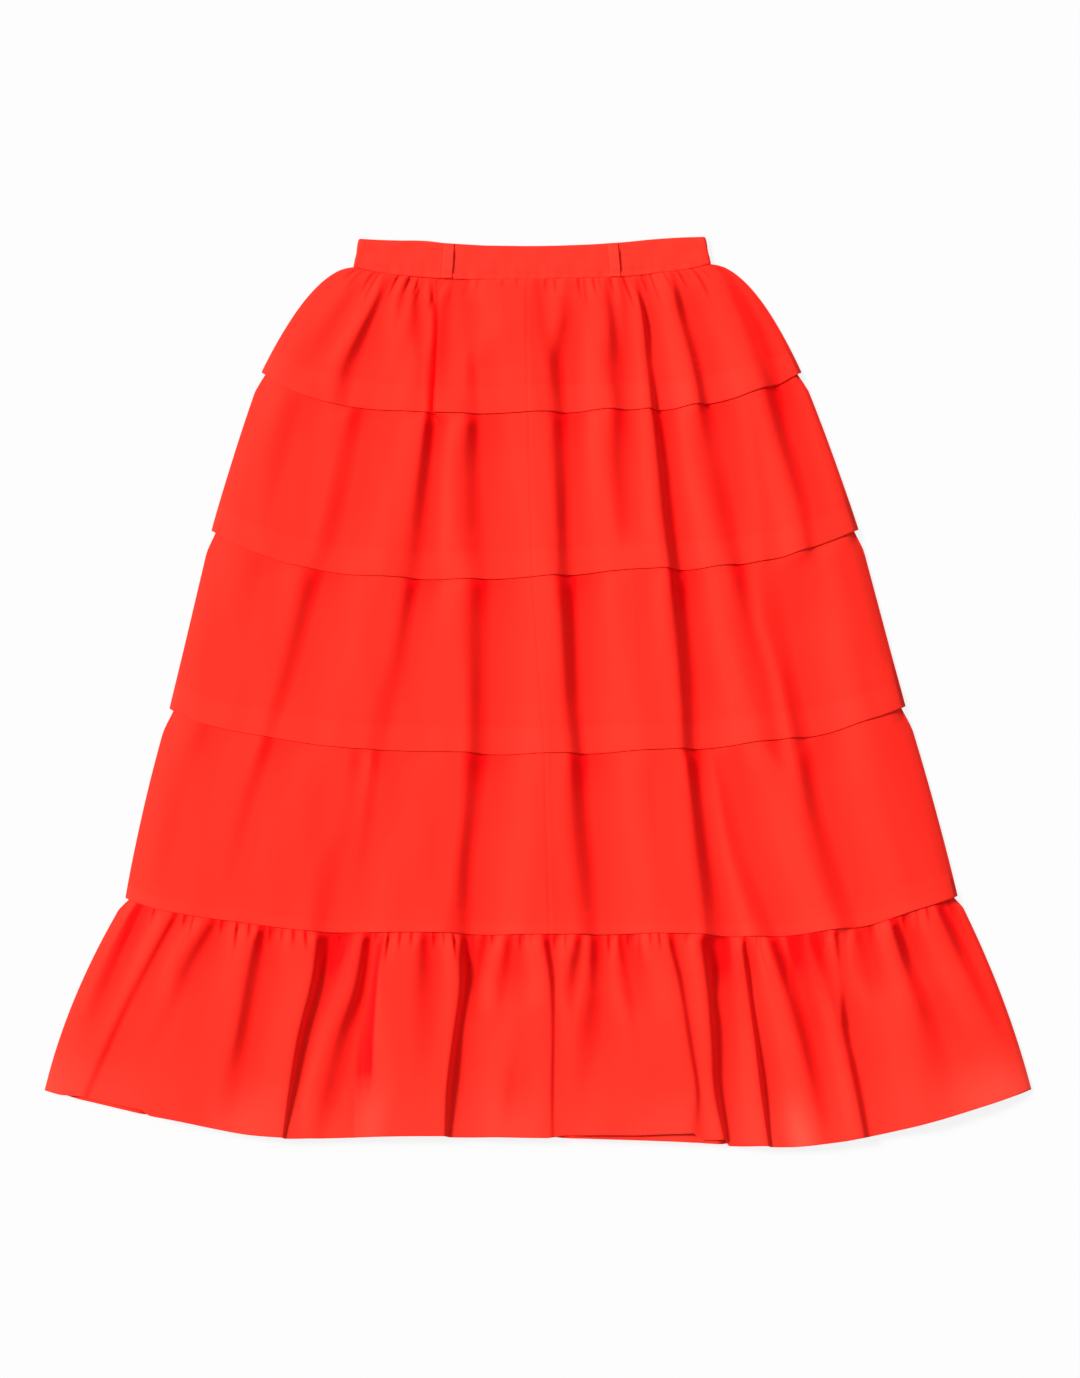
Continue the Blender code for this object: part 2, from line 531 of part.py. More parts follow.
def wall_object(name, rows, thickness, material):
    """A closed cloth wall around rows of middle-surface points, listed from the top edge down."""
    faces, first_of = [], [0]
    for upper, lower in zip(rows, rows[1:]):
        faces += zip_faces(first_of[-1], upper, lower)
        first_of.append(first_of[-1] + len(upper))
    points = np.vstack(rows)
    count = len(points)
    outward = 0.5 * thickness * np.stack([points[:, 5], np.zeros(count), points[:, 6]], axis=1)
    corners = np.vstack([points[:, :3] + outward, points[:, :3] - outward])

    last = first_of[-1]
    ends = [first + len(row) - 1 for first, row in zip(first_of, rows)]
    rim = [*first_of, *range(last + 1, count), *ends[-2::-1], *range(len(rows[0]) - 2, 0, -1)]
    inside = [(c + count, b + count, a + count) for a, b, c in faces]
    sides = []
    for a, b in zip(rim, rim[1:] + rim[:1]):
        if a < b:
            sides += [(b, a, b + count), (a, a + count, b + count)]
        else:
            sides += [(b, a, a + count), (b, a + count, b + count)]

    mesh = bpy.data.meshes.new(name)
    mesh.from_pydata(corners.tolist(), [], faces + inside + sides)
    mesh.materials.append(material)
    mesh.shade_smooth()
    mesh.set_sharp_from_angle(angle=SMOOTH_ANGLE)
    obj = bpy.data.objects.new(name, mesh)
    bpy.context.scene.collection.objects.link(obj)
    return obj


def split_at_seam(row, down):
    """One row as its left and right halves, each ending half a gap from the centre seam."""
    index = int(np.argmin(np.abs(row[:, 3] - seam_across(down))))
    left, right = row[:index + 1].copy(), row[index:].copy()
    left[-1, 0] -= 0.5 * SEAM_GAP
    right[0, 0] += 0.5 * SEAM_GAP
    return left, right


def front_panels(name, tier, material):
    """The left and right front panels of one tier."""
    halves = ([], [])
    for down in lines_down(tier, FRONT_LINES):
        row = front_row(tier, down)
        if tier == WAIST_SEAM and down <= WAIST_SEAM + WAIST_TURN:
            row[:, 1] -= SEAM_GAP
        for half, part in zip(halves, split_at_seam(row, down)):
            half.append(part)
    wall_object(name + "_front_left", halves[0], CLOTH, material)
    wall_object(name + "_front_right", halves[1], CLOTH, material)


# ---------------------------------------------------------------- the back
def back_creases(tier, down):
    """(place across, wall, height) of each pressed crease at one line of a back tier.  They fade out where
    the tier meets the next one."""
    f = min(max(down - tier, 0.0), 1.0)
    whole = (down - WAIST_SEAM) / (RUFFLE_HEM - WAIST_SEAM)
    height = BACK_CREASE
    if tier > WAIST_SEAM:
        height *= ease((f - EMERGE) / BACK_FADE)
    if tier < TIER4_HEM:
        height *= ease((1 - flap_of(tier) - f) / BACK_FADE)
    found = [(a + whole * (b - a), BACK_CREASE_WALL, height) for a, b in BACK_CREASES]
    if tier in (WAIST_SEAM, TIER4_HEM):
        fade = ease((f - WAIST_TURN) / EMERGE) * (1 - ease((f - EMERGE) / BACK_GATHER_FADE))
        for i in range(BACK_GATHERS):
            unevenly = i + 0.5 + 0.25 * math.sin(2.6 * i)
            place = BACK_GATHER_SPAN * (2 * unevenly / BACK_GATHERS - 1)
            found.append((place, BACK_GATHER_WALL, BACK_CREASE * fade))
    return found


def back_row(tier, down):
    """Points of a back tier at one line: it rests on the ground, and rises over the flap that lies under
    its top."""
    across = back_columns(tier, down)
    x, y = plan(across, down)
    side = side_height(tier, down)
    rise = np.zeros(len(across))
    for place, wall, height in back_creases(tier, down):
        rise = np.maximum(rise, height * bump((across - place) * half_width(down), wall, wall))
    rise *= ease((1 - np.abs(across)) * half_width(down) / SIDE_ROUND)
    height = np.maximum(BACK_MIDDLE + rise, side)
    return make_row(x - step_in(tier, across, down), y, height, across)


def back_columns(tier, down):
    width = half_width(down)
    marks = []
    for place, wall, height in back_creases(tier, down):
        if height > FADED * BACK_CREASE:
            marks += [place, place - wall / width, place + wall / width]
    return spread([-1.0, 1.0], [*marks, *BACK_COLUMNS], width / BACK_FILL)


def back_panel(name, tier, material):
    rows = []
    for down in lines_down(tier, BACK_LINES):
        row = back_row(tier, down)
        if tier == WAIST_SEAM and down <= WAIST_SEAM + WAIST_TURN:
            row[:, 1] -= SEAM_GAP
        rows.append(row)
    wall_object(name + "_back", rows, CLOTH, material)


# ---------------------------------------------------------------- waistband and belt loops
def band_middle(across):
    """Height of the front waistband's middle surface."""
    return BAND_WALL + SEAM_GAP + BAND_WALL / 2 + BAND_ARCH * (1 - np.asarray(across) ** 2)


def waistband(material):
    """The band's front and back; along the waist seam each has the same columns as the tier that is sewn
    to it."""
    front, back = [], []
    for down in (0.0, 0.5, 1.0):
        across = np.linspace(-1, 1, BAND_COLUMNS) if down < 1 else columns_of(WAIST_SEAM, down)
        x, y = plan(across, down)
        front.append(make_row(x, y, band_middle(across), across))
        across = np.linspace(-1, 1, BAND_COLUMNS) if down < 1 else back_columns(WAIST_SEAM, down)
        x, y = plan(across, down)
        y = y + BACK_STANDS_UP * (1 - down)
        back.append(make_row(x, y, np.full(len(across), BAND_WALL / 2), across))
    wall_object("waistband_front", front, BAND_WALL, material)
    wall_object("waistband_back", back, BAND_WALL, material)


def belt_loop(name, place, material):
    """A narrow strap, sewn down at both ends of its length and standing a little off the band between."""
    half = LOOP_WIDTH / 2 / half_width(0.5)
    across = np.array([place - half, place, place + half])
    x, top = plan(across, 0.0)
    bottom = plan(across, 1.0)[1]
    lying = band_middle(across) + BAND_WALL / 2 + SEAM_GAP + CLOTH / 2
    length = float(top[1] - bottom[1])
    foot, risen = LOOP_FOOT / length, (LOOP_FOOT + LOOP_SLOPE) / length
    places = (0.0, foot, risen, 1 - risen, 1 - foot, 1.0)
    rows = []
    for down, rise in zip(places, (0.0, 0.0, 1.0, 1.0, 0.0, 0.0)):
        y = top + down * (bottom - top)
        rows.append(make_row(x, y, lying + rise * LOOP_RISE, across))
    wall_object(name, rows, CLOTH, material)


def main():
    clear_scene()
    material = cloth_material()
    waistband(material)
    for name, place in zip(("belt_loop_left", "belt_loop_right"), LOOP_PLACES):
        belt_loop(name, place, material)
    for tier, name in enumerate(("tier1", "tier2", "tier3", "tier4", "ruffle"), start=WAIST_SEAM):
        front_panels(name, tier, material)
        back_panel(name, tier, material)


main()
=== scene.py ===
"""The looks of a tiered ruffle skirt in red crepe, laid flat on its back and seen from above.

The skirt lies in the XY plane with its waist towards +Y and its front facing up.  Sizes are in metres, but
widths and lengths in the tables of folds and gathers are in millimetres.  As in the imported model, two
coordinates describe every point of the cloth:
    across   -1 at the left side edge, 0 in the middle, +1 at the right side edge
    down      0 at the waistband's top edge, 1 at the waist seam, 2 to 5 at the hems of tiers 1 to 4,
              6 at the hem of the ruffle
Each tier is one closed tube of thin cloth: its front, its pressed back and the rounded folds at its sides.
"""

import math

import bpy
import numpy as np
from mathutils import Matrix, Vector

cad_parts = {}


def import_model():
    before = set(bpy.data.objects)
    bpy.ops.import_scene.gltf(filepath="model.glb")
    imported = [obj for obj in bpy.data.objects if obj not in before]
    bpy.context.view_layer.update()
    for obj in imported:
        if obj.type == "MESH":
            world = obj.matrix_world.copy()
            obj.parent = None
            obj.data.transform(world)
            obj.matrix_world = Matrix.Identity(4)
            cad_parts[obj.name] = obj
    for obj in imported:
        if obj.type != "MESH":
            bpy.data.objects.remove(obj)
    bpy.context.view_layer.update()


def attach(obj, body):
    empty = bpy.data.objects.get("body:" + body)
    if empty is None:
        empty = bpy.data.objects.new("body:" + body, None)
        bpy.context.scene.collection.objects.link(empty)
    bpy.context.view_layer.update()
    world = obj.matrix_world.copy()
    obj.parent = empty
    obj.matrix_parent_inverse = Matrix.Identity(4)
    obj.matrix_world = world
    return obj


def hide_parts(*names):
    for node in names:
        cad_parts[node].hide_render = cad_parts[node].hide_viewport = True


def table(columns, rows):
    """A table's rows as dicts, keyed by its columns.  A row may leave out its last values."""
    return [dict(zip(columns, row)) for row in rows]


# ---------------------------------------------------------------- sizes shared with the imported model
LAYER = 0.0015            # from one lying layer's middle to the next one's
FLAP = 0.026              # how far a tier's hem flap hangs below the stitches that hold the next tier
RUFFLE_FLAP = 0.012       # the same over the ruffle
FLAP_LIFT = 0.0010        # how far a flap's edge stands off the tier below it
SIDE_STEP = 0.0045        # how far a tier's top lies inside the hem corner above it
WAIST_SIDE_STEP = 0.6 * SIDE_STEP      # and tier 1's top inside the waistband's end
EMERGE = 0.12             # share of its length over which a tier comes out from under that hem at the sides
SIDE_TURN = 0.0030        # width of the turned-down edge at the sides
SIDE_ROUND = 0.022        # the front rises from the side edge to its full height over about this width
FRONT_FLOOR = 0.0036      # height of the front where a valley is at its deepest
CROWN = 0.0125            # height of the front's soft lobes above that floor
RUFFLE_CROWN = 0.0140     # the same at the top of the ruffle
RUFFLE_HEM_CROWN = 0.0100      # and at its hem
WAIST_CROWN = 0.0052      # and where the gathers leave the waist seam
WAIST_SWELL = 0.012       # it swells to its full height over about this length
BAND_MIDDLE = 0.0037      # height of the middle surface of the waistband's front at its ends
BAND_ARCH = 0.0020        # it is this much higher halfway between them
BAND_TALLER = 0.0010      # its top edge lies this far above the first line
LOOP_WIDTH = 0.010        # belt loop
LOOP_RISE = 0.0009        # how far its middle stands off the band
LOOP_FOOT = 0.004         # length of each sewn-down end
LOOP_SLOPE = 0.005        # length over which it rises from there
LOOP_PLACES = (-0.48, 0.47)

# A row is one line: where it starts and ends, and its height on the page at each station across.
STATIONS = (-1.0, -0.9, -0.75, -0.5, -0.25, 0.0, 0.25, 0.5, 0.75, 0.9, 1.0)
LINES = table(("name", "left", "right", "y"), (
    ("waist_top", -0.1780, 0.1660,
     (0.4510, 0.4500, 0.4490, 0.4465, 0.4440, 0.4435, 0.4445, 0.4470, 0.4510, 0.4525, 0.4530)),
    ("waist_seam", -0.1830, 0.1715,
     (0.4250, 0.4205, 0.4167, 0.4134, 0.4120, 0.4123, 0.4134, 0.4150, 0.4195, 0.4235, 0.4280)),
    ("tier1_hem", -0.2760, 0.2630,
     (0.3190, 0.3020, 0.2880, 0.2800, 0.2775, 0.2790, 0.2815, 0.2840, 0.2945, 0.3075, 0.3190)),
    ("tier2_hem", -0.3260, 0.3200,
     (0.1610, 0.1440, 0.1270, 0.1155, 0.1135, 0.1155, 0.1220, 0.1245, 0.1350, 0.1500, 0.1620)),
    ("tier3_hem", -0.3680, 0.3670,
     (-0.0170, -0.0320, -0.0435, -0.0560, -0.0590, -0.0605, -0.0580, -0.0525, -0.0410, -0.0270, -0.0145)),
    ("tier4_hem", -0.4120, 0.4190,
     (-0.2060, -0.2180, -0.2275, -0.2385, -0.2390, -0.2410, -0.2395, -0.2415, -0.2335, -0.2165, -0.2040)),
    ("ruffle_hem", -0.4930, 0.4930,
     (-0.3980, -0.4090, -0.4255, -0.4445, -0.4425, -0.4440, -0.4475, -0.4530, -0.4340, -0.4130, -0.3970)),
))
WAIST_SEAM, TIER4_HEM, RUFFLE_HEM = 1, 5, 6

# How far each side edge bows out between two lines: the amount, and a power if one shapes it.
BOWS = table(("down", "left", "right", "power"), (
    (1, 0.0925, 0.0925, 0.54),
    (2, 0.0070, 0.0070),
    (4, 0.0120, 0.0080),
    (5, 0.0350, 0.0240),
))
BOW_REACH = 8             # power of "across": a bow is felt near the side edges only
STEP_REACH = 40           # the same for the step at a tier's top

# Where the seam down the middle of the front lies, at the waist seam and at each hem below it.
CENTRE_SEAM = (-0.030, -0.013, -0.009, 0.018, 0.020, 0.034)

# ---------------------------------------------------------------- sizes of the thin cloth
CLOTH = 0.0007            # thickness of a cloth tube
BAND_WALL = 0.0014        # thickness of the waistband
TUCK_GAP = 0.6 * CLOTH    # from its inside to the middle of the cloth tucked in there
BACK_MIDDLE = CLOTH / 2   # height of the back's middle surface where it rests
EDGE_INSET = 0.0009       # the sides' middle surface lies this far inside the outline
HEM_PULL = 0.32           # a hem is drawn up by this share of its height above the lobes' mean height,
LOBE_MEAN = 0.85          # which is this share of their full height,
HEM_PULL_REACH = 0.22     # over this share of the tier
BACK_HEM_LIFT = 0.0012    # the back's hems lie this far up behind the front's,
BACK_HEM_FROM = 0.5       # drawn up from this share of the length on
UNDER_BLEND = {2: 0.012, 3: 0.016, 4: 0.016, 5: 0.007}    # a tier's folds leave those above over this length,
UNDER_SETTLE = 0.080      # but its lie as a whole changes over this one
UNDER_WIDE = 0.050        # and that is its mean over this width to each side
TUCK = 0.004              # how far tier 1's top reaches up inside the waistband
WAIST_LEAVE = 0.0022      # tier 1 comes up from under the waistband's edge over this length
WAIST_STEP = 0.03         # and out to its sides over this share of its own
BEND = 0.008              # a fold's shape is even over a few times this length
RISE_POWER = 1.3          # the cloth rises slowly out of a valley at first,
RISE_SLOPE = 0.26         # by at most this much for each metre across,
RISE_ROOM = 0.022         # and less where there isn't this much room,
RISE_WIDTH = (0.006, 0.055)    # over a width between these,
GATHERED_RISE_SLOPE = 0.60     # but much faster below a gathered seam,
GATHERED_RISE_WIDTH = 0.022    # and over a smaller width,
GATHERED_SHARE = 0.30     # along this share of the tier,
FULL_SLOPE = 24.0         # and is up again before any fold that is this steep
CLOSING = (0.010, 0.024)  # a fold that closes over the first width is a notch, over the second an open valley
CREST = 0.0006            # a lapping wall carries a low crest of this height
CREST_WALL = 0.014        # that is this wide on its left
LAP_REACH = 0.030         # a lapping edge draws cloth after it from this far
RIM_SHADE_WIDTH = 0.0025              # and its rim is painted darker, as shade, over this width,
RIM_SHADE_REACH = 1.5           # and over this many times the width of a closing wall
LAP_START = 0.20          # below a gathered seam, laps begin gently over this share of the length
SEAM_GROOVE = 0.0004      # depth of the centre seam's groove,
SEAM_GROOVE_WIDTH = 0.0016     # its half width,
SEAM_RIDGE = 0.0001       # the height of the ridges beside it,
SEAM_RIDGE_PLACE = 0.0032      # and how far off they are
STITCH_DENT = 0.00025     # cloth is drawn in this far along a line of stitches
STITCH_DENT_WIDTH = 0.002
GATHER_WALL = (0.0030, 0.0085)    # widths of the left and right walls of a short gather
GATHER_DEPTH = 0.0046     # the depth that their shares are of,
GATHER_ROOM = 0.85        # and at most this share of the cloth's height there
GATHER_DRIFT = 0.12       # gathers slant in towards the middle on their way down, by this share

# Broad, shallow swells that no two lobes share, as shares of the crown: each a wave with its own frequencies.
WAVE_COLUMNS = ("height", "across", "down", "start")
SWELLS = table(WAVE_COLUMNS, (
    (0.045, 9.0, 2.1, 0.0),
    (0.035, 20.7, -3.0, 1.0),
    (0.020, 36.9, 4.5, 2.0),
    (0.012, 65.7, -6.0, 0.0),
))
SWELL_SHIFT = 1.7 / 9.0   # each tier's are this much further along than the one's above

# ---------------------------------------------------------------- folds of the front
# At a fold the cloth falls to the right and then slowly rises again.  "across" is where it is steepest and
# "slope" its angle there in degrees; "crest" and "floor" are how far the fall begins to the left of there and
# ends to the right.  "lap" is how far an edge leans over the valley (+ the left edge leans right, - the right
# edge leans left), and "close" is the width over which the cloth comes straight up again, if it does.  These
# four are in millimetres.  A number holds all the way down the tier; several are evenly spaced down it.
MM = 0.001                # a millimetre
FOLD_COLUMNS = ("name", "across", "slope", "crest", "floor", "lap", "close")
FOLDS = {tier: table(FOLD_COLUMNS, rows) for tier, rows in {
    1: (
        ("left_hip", (-0.9, -0.893, -0.89, -0.878), (16, 14, 10, 0), (6, 10, 14, 14), 8),
        ("left_side", (-0.79, -0.765, -0.756, -0.702), (26, 38, 29, 12), (5, 6, 10, 16), (8, 8, 14, 12), 2),
        ("left_fan", (-0.7, -0.65, -0.61, -0.57), (28, 12, 0, 0), 5, 5),
        ("left_run", (-0.655, -0.56, -0.47, -0.42), (27, 28, 8, 0), (5, 8, 10, 12), (6, 9, 10, 12)),
        ("left_pleat", (-0.582, -0.475, -0.42, -0.38), (24, 40, 42, 42), (5, 6, 10, 8), 4, -6, 4),
        ("soft_a", (-0.458, -0.399, -0.353, -0.313), (22, 22, 16, 0), (5, 8, 10, 12), (5, 8, 12, 12)),
        ("soft_b", (-0.385, -0.296, -0.255, -0.21), (10, 10, 20, 14), (8, 12, 10, 18), (8, 10, 8, 10)),
        ("vee_left", (0.025, 0.04, 0.085, 0.1), (14, 18, 12, 0), (6, 10, 12, 12), (6, 8, 10, 10)),
        ("vee_right", (0.216, 0.147, 0.1, 0.103), (8, 23, 28, 29), (8, 9, 14, 14), (6, 10, 14, 10)),
        ("right_middle", (0.406, 0.381, 0.343, 0.321), (30, 36, 33, 24), (6, 8, 13, 12), (5, 8, 14, 10)),
        ("right_fan", (0.48, 0.432, 0.39, 0.35), (27, 18, 0, 0), 5, 5),
        ("right_deep", (0.573, 0.537, 0.489, 0.453), (26, 40, 40, 38), (5, 6, 8, 8), (5, 8, 10, 10), 4),
        ("right_side", (0.771, 0.714, 0.675, 0.636), (32, 38, 40, 34), (5, 8, 8, 10), (5, 8, 11, 10), 2),
        ("right_hip", (0.982, 0.941, 0.921, 0.884), (26, 42, 44, 40), (5, 7, 12, 16), (5, 8, 12, 13)),
    ),
    2: (
        ("left_hip", (-0.863, -0.874, -0.868, -0.852), (8, 9, 7, 0), (12, 22, 14, 10), (10, 14, 10, 10)),
        ("left_side", (-0.649, -0.65, -0.656, -0.677), (26, 20, 20, 12), (10, 14, 16, 14), (12, 14, 16, 14)),
        ("left_pleat", (-0.375, -0.378, -0.379, -0.385), (42, 34, 28, 21), (8, 10, 15, 18), (7, 12, 13, 15)),
        ("left_middle", (-0.218, -0.209, -0.203, -0.179), (29, 23, 24, 16), (9, 20, 17, 22),
         (10, 11, 16, 16)),
        ("centre", (0.095, 0.097, 0.092, 0.088), (36, 27, 30, 28), (12, 16, 14, 14), (15, 14, 12, 15), 2),
        ("right_middle", (0.317, 0.297, 0.285, 0.263), (29, 22, 18, 6), (12, 16, 14, 16), (12, 14, 12, 10)),
        ("right_deep", (0.451, 0.443, 0.434, 0.427), (44, 37, 36, 33), (8, 10, 12, 12), (13, 14, 14, 14), 4),
        ("right_side", (0.634, 0.619, 0.62, 0.617), (37, 25, 28, 24), (12, 16, 17, 16), (13, 18, 15, 12)),
        ("right_branch", (0.745, 0.722, 0.702, 0.69), (6, 10, 13, 15), 10, 13),
        ("right_hip", (0.88, 0.87, 0.865, 0.848), (42, 38, 32, 24), (12, 12, 12, 10), (15, 12, 12, 10), 1),
    ),
    3: (
        ("left_hip", (-0.86, -0.85, -0.86, -0.895), (9, 4, 0, 0), 16, 14),
        ("left_side", (-0.675, -0.694, -0.709, -0.73), (28, 22, 20, 8), (16, 14, 13, 10), (14, 13, 12, 10),
         1),
        ("left_pleat", (-0.38, -0.392, -0.415, -0.435), (32, 17, 14, 9), (11, 12, 16, 22), (12, 12, 14, 14)),
        ("left_middle", (-0.18, -0.177, -0.175, -0.171), (32, 27, 29, 27), (14, 17, 14, 14),
         (17, 19, 19, 19)),
        ("centre", (0.091, 0.097, 0.098, 0.108), (40, 34, 33, 29), (17, 16, 16, 16), (16, 14, 14, 12), 2),
        ("right_middle", (0.259, 0.26, 0.255, 0.25), (13, 8, 0, 0), 14, 22),
        ("right_deep", (0.421, 0.423, 0.414, 0.406), (42, 34, 33, 31), (10, 14, 11, 14), (19, 19, 23, 18), 4),
        ("right_side", (0.621, 0.624, 0.637, 0.64), (30, 22, 20, 14), (16, 18, 20, 20), (12, 9, 12, 10)),
        ("right_branch", (0.706, 0.694, 0.704, 0.706), (24, 23, 28, 27), 12, (18, 22, 16, 18)),
        ("right_short", (0.845, 0.844, 0.843, 0.842), (6, 3, 0, 0), 16, 16),
    ),
    4: (
        ("left_hip", (-0.9, -0.928, -0.928, -0.952), (11, 5, 6, 2), 16, 10),
        ("left_side", (-0.728, -0.751, -0.765, -0.766), (26, 12, 5, 0), (10, 12, 14, 14), 10),
        ("left_short", (-0.492, -0.49, -0.49, -0.49), (18, 0, 0, 0), 10, 11),
        ("left_pleat", (-0.44, -0.443, -0.449, -0.45), (26, 13, 4, 0), (6, 8, 10, 10), (9, 11, 12, 12)),
        ("left_soft", (-0.49, -0.495, -0.524, -0.534), (0, 3, 11, 12), 18, (16, 16, 16, 12)),
        ("left_middle", (-0.174, -0.181, -0.192, -0.189), (37, 30, 30, 22), (16, 12, 14, 24),
         (18, 17, 14, 12)),
        ("centre", (0.101, 0.107, 0.114, 0.118), (38, 29, 27, 20), (12, 17, 20, 18), (17, 15, 15, 12), 1),
        ("right_deep", (0.404, 0.408, 0.41, 0.398), (42, 35, 32, 24), (8, 12, 16, 10), (20, 16, 18, 30), 4),
        ("right_side", (0.466, 0.483, 0.506, 0.548), (17, 18, 20, 22), (14, 14, 14, 18), (18, 16, 14, 12)),
        ("right_far", (0.636, 0.636, 0.636, 0.636), (19, 0, 0, 0), 20, 10),
        ("right_branch", (0.706, 0.705, 0.719, 0.735), (35, 28, 22, 18), (12, 14, 20, 14), 15, 1),
    ),
    5: (
        ("side_soft_left", (-0.966, -0.964, -0.962, -0.96, -0.96), (50, 40, 20, 0, 0), (5, 8, 10, 10, 10),
         (5, 8, 10, 10, 10)),
        ("lap_left", (-0.874, -0.887, -0.899, -0.906, -0.914), (36, 34, 32, 32, 22), (5, 5, 5, 6, 6), 4),
        ("short_a", (-0.784, -0.807, -0.814, -0.83, -0.84), (33, 22, 11, 2, 0), (6, 13, 14, 14, 14),
         (6, 10, 12, 12, 12)),
        ("long_a", (-0.671, -0.662, -0.652, -0.643, -0.632), (38, 28, 28, 15, 0), (6, 10, 9, 14, 14),
         (8, 14, 13, 15, 14), 1),
        ("deep_a", (-0.526, -0.522, -0.526, -0.522, -0.516), (40, 42, 41, 39, 22), (8, 8, 8, 7, 5),
         (16, 14, 13, 10, 7), 7),
        ("deep_b", (-0.417, -0.419, -0.434, -0.44, -0.446), (40, 42, 39, 28, 10), (6, 8, 12, 16, 14),
         (6, 8, 15, 18, 14), (-2, -3, -1, 0, 0), (10, 12, 16, 22, 24)),
        ("lap_a", (-0.4, -0.404, -0.404, -0.392, -0.376), (0, 0, 5, 9, 7), 6, 3, -2, 4),
        ("soft_a", (-0.283, -0.268, -0.256, -0.25, -0.25), (30, 21, 12, 0, 0), (8, 14, 14, 14, 14),
         (8, 12, 14, 14, 14)),
        ("deep_c", (-0.19, -0.178, -0.186, -0.19, -0.186), (42, 43, 43, 42, 32), (9, 10, 8, 8, 7),
         (8, 12, 12, 12, 10), 6),
        ("branch_c", (-0.138, -0.158, -0.172, -0.175, -0.175), (32, 12, 0, 0, 0), 4, 6),
        ("soft_b", (-0.077, -0.09, -0.098, -0.1, -0.1), (31, 22, 6, 0, 0), (6, 10, 12, 12, 12),
         (5, 10, 12, 12, 12)),
        ("low_b", (-0.06, -0.06, -0.06, -0.066, -0.078), (0, 0, 3, 14, 5), 12, 12),
        ("centre", (0.008, 0.026, 0.029, 0.028, 0.029), (38, 36, 34, 36, 30), (6, 5, 3, 3, 3),
         (7, 5, 3, 3, 3)),
        ("soft_c", (0.09, 0.07, 0.055, 0.05, 0.05), (39, 20, 0, 0, 0), (6, 10, 10, 10, 10), 6),
        ("soft_e", (0.121, 0.119, 0.106, 0.09, 0.082), (35, 31, 19, 8, 0), (6, 10, 20, 16, 16),
         (14, 12, 18, 12, 12)),
        ("soft_d", (0.183, 0.196, 0.21, 0.213, 0.214), (28, 25, 9, 0, 0), (5, 8, 12, 12, 12),
         (7, 8, 8, 8, 8)),
        ("lap_b", (0.306, 0.316, 0.32, 0.322, 0.316), (37, 33, 32, 30, 16), (6, 6, 6, 5, 8), (6, 6, 6, 6, 10),
         4),
        ("deep_d", (0.389, 0.384, 0.379, 0.37, 0.378), (41, 41, 41, 40, 28), (9, 10, 10, 9, 8),
         (16, 18, 18, 16, 10), 8),
        ("deep_e", (0.486, 0.477, 0.474, 0.47, 0.468), (34, 42, 42, 40, 26), 6, (6, 7, 9, 9, 6), 5),
        ("long_b", (0.549, 0.566, 0.579, 0.583, 0.586), (43, 42, 37, 28, 5), (8, 8, 10, 10, 10),
         (8, 12, 12, 12, 12)),
        ("short_d", (0.592, 0.596, 0.6, 0.6, 0.6), (30, 10, 0, 0, 0), 6, 8),
        ("short_b", (0.648, 0.65, 0.655, 0.655, 0.655), (30, 20, 6, 0, 0), 6, 8),
        ("deep_f", (0.703, 0.688, 0.672, 0.668, 0.665), (36, 39, 37, 34, 30), (4, 6, 9, 9, 9),
         (5, 8, 11, 11, 8), 4),
        ("short_c", (0.752, 0.747, 0.742, 0.74, 0.74), (38, 22, 4, 0, 0), (6, 10, 10, 10, 10),
         (8, 10, 10, 10, 10)),
        ("long_c", (0.839, 0.84, 0.844, 0.842, 0.84), (42, 38, 28, 12, 0), (6, 8, 15, 20, 20),
         (8, 10, 14, 14, 14), 1),
        ("side_right", (0.95, 0.956, 0.964, 0.975, 0.98), (46, 42, 26, 6, 0), (6, 8, 8, 10, 10),
         (6, 9, 9, 10, 10)),
    ),
}.items()}

